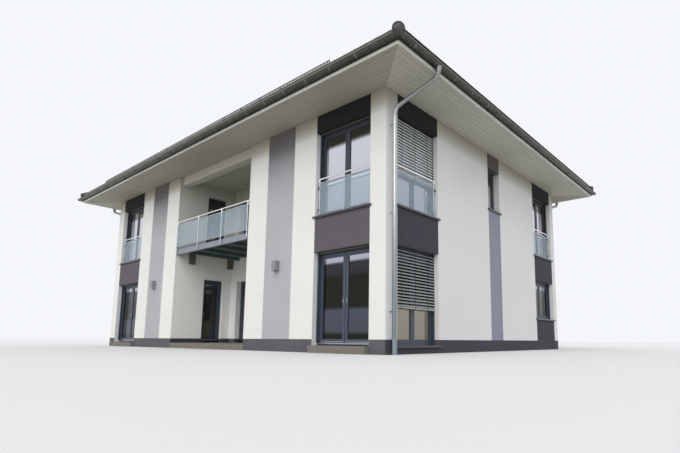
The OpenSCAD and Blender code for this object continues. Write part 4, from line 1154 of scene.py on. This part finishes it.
@dataclass
class SlattedBlinds:
    """Lowered slatted blinds in the front bays of both sides, raised ones elsewhere, and their guides."""

    slat: float = 0.080
    pitch: float = 0.0725
    crown: float = 0.007
    sheet: float = 0.0012
    line: float = 0.142
    rail_height: float = 0.040
    rail_half: float = 0.036
    end_gap: float = 0.030
    tape_half: float = 0.005
    tape_sheet: float = 0.0008
    guide: float = 0.034
    guide_front: float = 0.128
    lip_inset: float = 0.003
    lip_half: float = 0.004
    lip_depth: tuple = (0.134, 0.144)
    raised_inset: float = 0.040
    raised_depth: tuple = (0.100, 0.176)
    tapes: tuple = (-0.525, 0.0, 0.515)
    spans: tuple = ((UPPER_HEAD, 4.10, 61.0), (LOW_HEAD, 1.005, 36.0))

    def slats(self, width: float, top: float, bottom: float, tilt_deg: float) -> Form:
        """Hangs the slats of one blind in the facade's frame.

        Args:
            width: Length of the slats.
            top: Level of the blind box.
            bottom: Level of the bottom rail.
            tilt_deg: Tilt of the slats.

        Returns:
            The slats as one mesh.
        """
        form = bmesh.new()
        bmesh.ops.create_grid(form, x_segments=1, y_segments=4, size=0.5)
        for vert in form.verts:
            across = vert.co.y
            vert.co = (vert.co.x * width, across * self.slat, self.crown * (1 - 4 * across * across))
        thicken(form, self.sheet)
        lowest = (SIDE_BAY_FRONT_Y, self.line, bottom + self.rail_height + self.slat * 0.45)
        move(form, Matrix.Translation(lowest) @ turned(tilt_deg, "X"))
        count = int((top - bottom - 0.03) / self.pitch)
        repeat(form, (0, 0, self.pitch), count - 1)
        return form

    def lowered(self) -> None:
        """Builds slats, bottom rails and tapes of the lowered blinds on both sides."""
        slats, rails, tapes = bmesh.new(), bmesh.new(), bmesh.new()
        middle, half = SIDE_BAY_FRONT_Y, SIDE_BAY_WIDTH / 2
        for top, bottom, tilt_deg in self.spans:
            join(slats, self.slats(SIDE_BAY_WIDTH - 0.05, top, bottom, tilt_deg))
            block(rails, (middle - half + self.end_gap, self.line - self.rail_half, bottom),
                  (middle + half - self.end_gap, self.line + self.rail_half, bottom + self.rail_height),
                  0.008, 2)
            for shift in self.tapes:
                tape = middle + shift
                for y in (self.line - self.slat / 2, self.line + self.slat / 2):
                    block(tapes, (tape - self.tape_half, y - self.tape_sheet, bottom + 0.01),
                          (tape + self.tape_half, y + self.tape_sheet, top))
                block(tapes, (tape - 0.012, self.line - 0.042, bottom - 0.012),
                      (tape + 0.012, self.line - 0.030, bottom + 0.020), 0.003)
        for name, form, finish in (("slats", slats, SLAT_COAT), ("bottom_rails", rails, RAIL_COAT),
                                   ("ladder_tapes", tapes, TAPE_CLOTH)):
            move(form, Facade.RIGHT.place())
            mirror_over(form)
            piece(f"blind_{name}", form, finish, replaces=("roller_blinds",))

    def build(self) -> None:
        """Builds the lowered blinds, the guides and the rails of the raised blinds."""
        self.lowered()
        guides, rails = bmesh.new(), bmesh.new()
        doors = [Opening(Facade.FRONT, x, BAY_WIDTH, 0.230, LOW_HEAD, blind=True) for x in (-BAY_X, BAY_X)]
        for opening in [spot for spot in all_openings() if spot.blind] + doors:
            half = opening.width / 2
            form = bmesh.new()
            for side in (-1, 1):
                edge = opening.middle + side * (half - self.guide / 2 - 0.0005)
                block(form, (edge - self.guide / 2, self.guide_front, opening.low + 0.016),
                      (edge + self.guide / 2, opening.depth - 0.001, opening.high - 0.001), 0.003)
                lip = edge - side * (self.guide / 2 + self.lip_inset)
                near, far = self.lip_depth
                block(form, (lip - self.lip_half, near, opening.low + 0.020),
                      (lip + self.lip_half, far, opening.high - 0.004))
            join(guides, form, opening.facade.place())
            if opening.facade in (Facade.RIGHT, Facade.LEFT) and abs(opening.middle) == -SIDE_BAY_FRONT_Y:
                continue
            rail = bmesh.new()
            low = 0.016 if opening.high == UPPER_HEAD else 0.036
            near, far = self.raised_depth
            block(rail, (opening.middle - half + self.raised_inset, near, opening.high - low),
                  (opening.middle + half - self.raised_inset, far, opening.high - 0.002), 0.006, 2)
            join(rails, rail, opening.facade.place())
        piece("blind_guide_rails", guides, FRAME_COAT)
        piece("raised_blind_rails", rails, RAISED_RAIL)


@dataclass
class Glazing:
    """Gaskets and square beads that hold the panes of windows and doors."""

    gasket: float = 0.006
    gasket_depth: float = 0.004
    bead: float = 0.014
    lap: float = 0.001
    pane_depth: float = 0.026

    def seat(self, form: Form, rubber: Form, pane: list | tuple, plane: float) -> None:
        """Sets one bead and its gasket round a pane.

        Args:
            form: Mesh that the bead joins.
            rubber: Mesh that the gasket joins.
            pane: Left, right, bottom and top of the pane.
            plane: Depth of the pane's outer face.
        """
        left, right, low, high = pane
        ring(form, (left, plane - self.bead, low), (right, plane, high), self.bead)
        inset = self.bead - self.lap
        ring(rubber, (left + inset, plane - self.gasket_depth, low + inset),
             (right - inset, plane, high - inset), self.gasket)

    def build(self) -> None:
        """Builds the beads and gaskets of the fixed windows and of each door leaf."""
        beads, rubbers = bmesh.new(), bmesh.new()
        for opening in all_openings():
            form, rubber = bmesh.new(), bmesh.new()
            for pane in opening.panes():
                self.seat(form, rubber, pane, opening.depth + self.pane_depth)
            join(beads, form, opening.facade.place())
            join(rubbers, rubber, opening.facade.place())
        piece("glazing_beads", beads, FRAME_COAT)
        piece("glazing_gaskets", rubbers, GASKET)
        for body, (facade, _) in LEAVES.items():
            *pane, plane = facade.box_of(leaf_node(body, "glass"))
            form, rubber = bmesh.new(), bmesh.new()
            self.seat(form, rubber, pane, plane)
            for made, finish, name in ((form, FRAME_COAT, "bead"), (rubber, GASKET, "gasket")):
                move(made, facade.place())
                piece(f"{body}_{name}", made, finish, body)


@dataclass
class DoorFittings:
    """Weather bars, handles and nosings of the ground-floor doors, and thin render beside openings."""

    leaf_depth: float = 0.006
    bar_low: float = 0.239
    bar_high: float = 0.276
    bar_depth: float = 0.022
    bar_inset: float = 0.006
    grip_low: float = 1.170
    grip_high: float = 1.230
    grip_inset: float = 0.052
    grip_reach: float = 0.026
    nosing_half: float = 0.840
    nosing_low: tuple = (0.163, 0.198)
    nosing_high: tuple = (0.175, 0.232)
    skin: float = 0.004

    def on_leaf(self, body: str, facade: Facade, grip_side: int) -> None:
        """Builds the weather bar and the handle of one leaf.

        Args:
            body: Body of the leaf.
            facade: Face that the leaf stands in.
            grip_side: 1 where the handle is on the right seen from outside, -1 on the left.
        """
        left, right, *_ = facade.box_of(leaf_node(body, "leaf"))
        face = (LOGGIA_REVEAL if facade is Facade.LOGGIA_LEFT else REVEAL) + self.leaf_depth
        bar = bmesh.new()
        block(bar, (left + self.bar_inset, face - self.bar_depth, self.bar_low),
              (right - self.bar_inset, face, self.bar_high), 0.006, 2)
        cut(bar, (0, face - self.bar_depth, self.bar_high - 0.010), (0, -0.45, 1))
        move(bar, facade.place())
        piece(f"{body}_weather_bar", bar, WEATHER_BAR, body)
        grip = bmesh.new()
        x = (right - self.grip_inset) if grip_side > 0 else (left + self.grip_inset)
        stem, arm = face - self.grip_reach, self.grip_high - 0.012
        block(grip, (x - 0.008, face - 0.004, self.grip_low - 0.02),
              (x + 0.008, face, self.grip_high + 0.02), 0.0015, 2)
        rod(grip, (x, face, arm), (x, stem, arm), 0.006)
        tube(grip, [(x, stem, self.grip_high - 0.006), (x, stem, self.grip_low)], 0.007, 0.02, 12)
        move(grip, facade.place())
        piece(f"{body}_handle", grip, HANDLE_METAL, body)

    def build(self) -> None:
        """Builds the fittings of every leaf, the nosings and the render linings."""
        for body, (facade, grip_side) in LEAVES.items():
            self.on_leaf(body, facade, grip_side)
        nosing, lining = bmesh.new(), bmesh.new()
        (near, low), (far, high) = self.nosing_low, self.nosing_high
        for middle in (-BAY_X, BAY_X):
            block(nosing, (middle - self.nosing_half, -HALF_D + near, low),
                  (middle + self.nosing_half, -HALF_D + far, high), 0.003, 2)
            for side in (-1, 1):
                edge = middle + side * BAY_WIDTH / 2
                inner = edge - side * self.skin
                block(lining, (min(edge, inner), -HALF_D + 0.001, FLOOR_TOP + 0.001),
                      (max(edge, inner), -HALF_D + REVEAL, PLINTH_TOP + 0.015), 0.0005)
        piece("threshold_nosings", nosing, WEATHER_BAR)
        piece("reveal_render_linings", lining, WHITE_RENDER)
        mouth = bmesh.new()
        block(mouth, (LOGGIA_HALF - 0.003, -HALF_D + 0.002, PLINTH_TOP + 0.001),
              (LOGGIA_HALF + 0.001, -HALF_D + WALL + 0.001, UPPER_HEAD))
        mirror_over(mouth)
        piece("loggia_mouth_linings", mouth, LOGGIA_RENDER)


@dataclass
class RailingFittings:
    """Glass clamps and wall plates of the railings."""

    clamp: tuple = (0.050, 0.034, 0.044)
    plate: tuple = (0.008, 0.050, 0.060)
    set_back: float = 0.085
    post_inset: float = 0.060
    clamp_gap: float = 0.026
    rail_level: float = 4.264
    rail_end: float = 0.022
    end_levels: tuple = (3.490, 4.030)
    balcony_levels: tuple = (3.520, 4.030)
    balcony_panels: int = 3
    balcony_post: float = 0.055
    balcony_clamp: tuple = (0.032, 0.030, 0.036)
    balcony_gap: float = 0.036

    def build(self) -> None:
        """Builds the clamps in the bays and on the balcony posts."""
        form = bmesh.new()
        for opening in [spot for spot in all_openings() if spot.low == UPPER_SILL and spot.blind]:
            bay = bmesh.new()
            post = opening.width / 2 - self.post_inset
            for side in (-1, 1):
                clamp = opening.middle + side * (post - self.clamp_gap)
                plate = opening.middle + side * (opening.width - self.plate[0]) / 2
                for level in self.end_levels:
                    centred(bay, (clamp, self.set_back, level), self.clamp, 0.006, 2)
                    centred(bay, (plate, self.set_back, level), self.plate, 0.002)
                near, far = (opening.middle + side * (post + reach) for reach in (0.012, 0.020))
                rod(bay, (near, self.set_back, self.rail_level), (far, self.set_back, self.rail_level),
                    self.rail_end, 16)
            join(form, bay, opening.facade.place())
        last = LOGGIA_HALF - self.balcony_post
        step = 2 * last / self.balcony_panels
        for index in range(self.balcony_panels):
            for post, side in ((index, 1), (index + 1, -1)):
                x = post * step - last + side * self.balcony_gap
                for level in self.balcony_levels:
                    centred(form, (x, -HALF_D - 0.009, level), self.balcony_clamp, 0.004, 2)
        piece("railing_clamps", form, STAINLESS)


@dataclass
class LampLenses:
    """Opal lenses in both ends of the wall lights."""

    recess: float = 0.050
    half_width: float = 0.079
    radius: float = 0.060
    flatten: tuple = (0.95, 0.78, 0.35)

    def build(self) -> None:
        """Builds a domed lens in each recess."""
        low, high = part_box("wall_lights")
        form = bmesh.new()
        for side in (-1, 1):
            for z in (low[2] + self.recess, high[2] - self.recess):
                middle = ((high[0] - self.half_width) * side, (low[1] + high[1]) / 2, z)
                flat = Matrix.LocRotScale(middle, None, self.flatten)
                bmesh.ops.create_uvsphere(form, u_segments=20, v_segments=10, radius=self.radius, matrix=flat)
        piece("lamp_lenses", form, LAMP_GLASS)


@dataclass
class NarrowHeads:
    """Umber render over the heads of the narrow windows."""

    skin: float = 0.004

    def build(self) -> None:
        """Builds an angle of render skin on both sides."""
        form = bmesh.new()
        half = NARROW_WIDTH / 2
        corner = (NARROW_Y - half, -self.skin, UPPER_HEAD - self.skin)
        block(form, corner, (NARROW_Y + half, -0.0002, SOFFIT_Z - 0.001))
        block(form, corner, (NARROW_Y + half, REVEAL - 0.001, UPPER_HEAD - 0.0002))
        move(form, Facade.RIGHT.place())
        mirror_over(form)
        piece("narrow_window_heads", form, NARROW_RENDER)


@dataclass
class Studio:
    """Camera at the photograph's viewpoint, a pale floor and soft light."""

    eye: tuple[float, float, float] = (13.349, -12.5613, 0.3169)
    yaw_deg: float = 39.8334
    pitch_deg: float = 7.8478
    roll_deg: float = -0.3551
    image_width: int = 680
    focal_px: float = 464.3892
    sensor_mm: float = 36.0
    shift_x: float = -0.062367
    shift_y: float = 0.072099
    floor_half: float = 90.0
    sky_strength: float = 0.92
    lamp_strength: float = 1.60
    lamp_turn: tuple[float, float, float] = (50.0, 0.0, 24.0)
    lamp_spread: float = 60.0

    def camera(self) -> Thing:
        """Sets the camera at the photograph's viewpoint.

        Returns:
            The camera object.
        """
        yaw, pitch, roll = (math.radians(a) for a in (self.yaw_deg, self.pitch_deg, self.roll_deg))
        forward = Vector((-math.sin(yaw) * math.cos(pitch), math.cos(yaw) * math.cos(pitch), math.sin(pitch)))
        right = Vector((math.cos(yaw), math.sin(yaw), 0))
        down = forward.cross(right)
        across = right * math.cos(roll) + down * math.sin(roll)
        drop = down * math.cos(roll) - right * math.sin(roll)
        lens = bpy.data.cameras.new("viewpoint")
        lens.sensor_width = self.sensor_mm
        lens.lens = self.sensor_mm * self.focal_px / self.image_width
        lens.shift_x = self.shift_x
        lens.shift_y = self.shift_y
        lens.clip_end = 400
        seen_from = hang("viewpoint", lens)
        columns = Matrix((across, -drop, -forward)).transposed()
        seen_from.matrix_world = Matrix.Translation(self.eye) @ columns.to_4x4()
        bpy.context.scene.camera = seen_from
        return seen_from

    def seen(self, tree: Tree) -> Socket:
        """Adds the share that is 1 for rays from the camera, from mirrors and through glass.

        Args:
            tree: Node tree that needs it.

        Returns:
            The share's output.
        """
        rays = add(tree, "ShaderNodeLightPath")
        share = rays.outputs["Is Camera Ray"]
        for other in ("Is Glossy Ray", "Is Transmission Ray"):
            links = {0: share, 1: rays.outputs[other]}
            share = add(tree, "ShaderNodeMath", {"operation": "MAXIMUM"}, links).outputs[0]
        return share

    def floor(self) -> Thing:
        """Lays the plain pale floor, which throws less light back up than the camera sees.

        Returns:
            The floor object.
        """
        mesh = bpy.data.meshes.new("studio_floor")
        form = bmesh.new()
        bmesh.ops.create_grid(form, x_segments=1, y_segments=1, size=self.floor_half)
        form.to_mesh(mesh)
        form.free()
        ground = hang("studio_floor", mesh)
        paint = bpy.data.materials.new("studio_paint")
        paint.use_nodes = True
        tree = paint.node_tree
        shader = tree.nodes["Principled BSDF"]
        tone = add(tree, "ShaderNodeMix", {"data_type": "RGBA", 6: linear("a8a59a"), 7: linear("dcdcdc")},
                   {"Factor": self.seen(tree)})
        tree.links.new(tone.outputs[2], shader.inputs["Base Color"])
        shader.inputs["Roughness"].default_value = 0.9
        mesh.materials.append(paint)
        return ground

    def light(self) -> None:
        """Lights the object with a plain white world and one large soft lamp."""
        world = bpy.data.worlds.new("studio")
        bpy.context.scene.world = world
        world.use_nodes = True
        tree = world.node_tree
        tree.nodes.clear()
        seen = add(tree, "ShaderNodeBackground", {"Color": linear("f4f6f9"), "Strength": 1.0})
        soft = add(tree, "ShaderNodeBackground", {"Color": linear("f3f6fb"), "Strength": self.sky_strength})
        either = add(tree, "ShaderNodeMixShader", {},
                     {0: self.seen(tree), 1: soft.outputs[0], 2: seen.outputs[0]})
        add(tree, "ShaderNodeOutputWorld", {}, {"Surface": either.outputs[0]})
        lamp = bpy.data.lights.new("softbox", "SUN")
        lamp.energy = self.lamp_strength
        lamp.color = linear("fffcf6")[:3]
        lamp.angle = math.radians(self.lamp_spread)
        hang("softbox", lamp).rotation_euler = tuple(math.radians(a) for a in self.lamp_turn)


def main() -> None:
    """Dresses the frame and builds every sub-assembly in order."""
    logging.basicConfig(level=logging.INFO, format="%(message)s")
    studio = Studio()
    studio.camera()
    studio.floor()
    studio.light()
    bpy.context.scene.view_settings.view_transform = "Standard"
    for finish, nodes in NODE_FINISH.items():
        for node in nodes:
            dress(node, finish)
    for assembly in (RoofTiles, RoofCaps, Soffit, SnowGuards, EavesFlashing, GutterStraps, Downpipes,
                     SlattedBlinds, Glazing, DoorFittings, RailingFittings, LampLenses, NarrowHeads):
        assembly().build()
    LOG.info("dressed %d nodes", sum(len(nodes) for nodes in NODE_FINISH.values()))


if __name__ == "__main__":
    main()
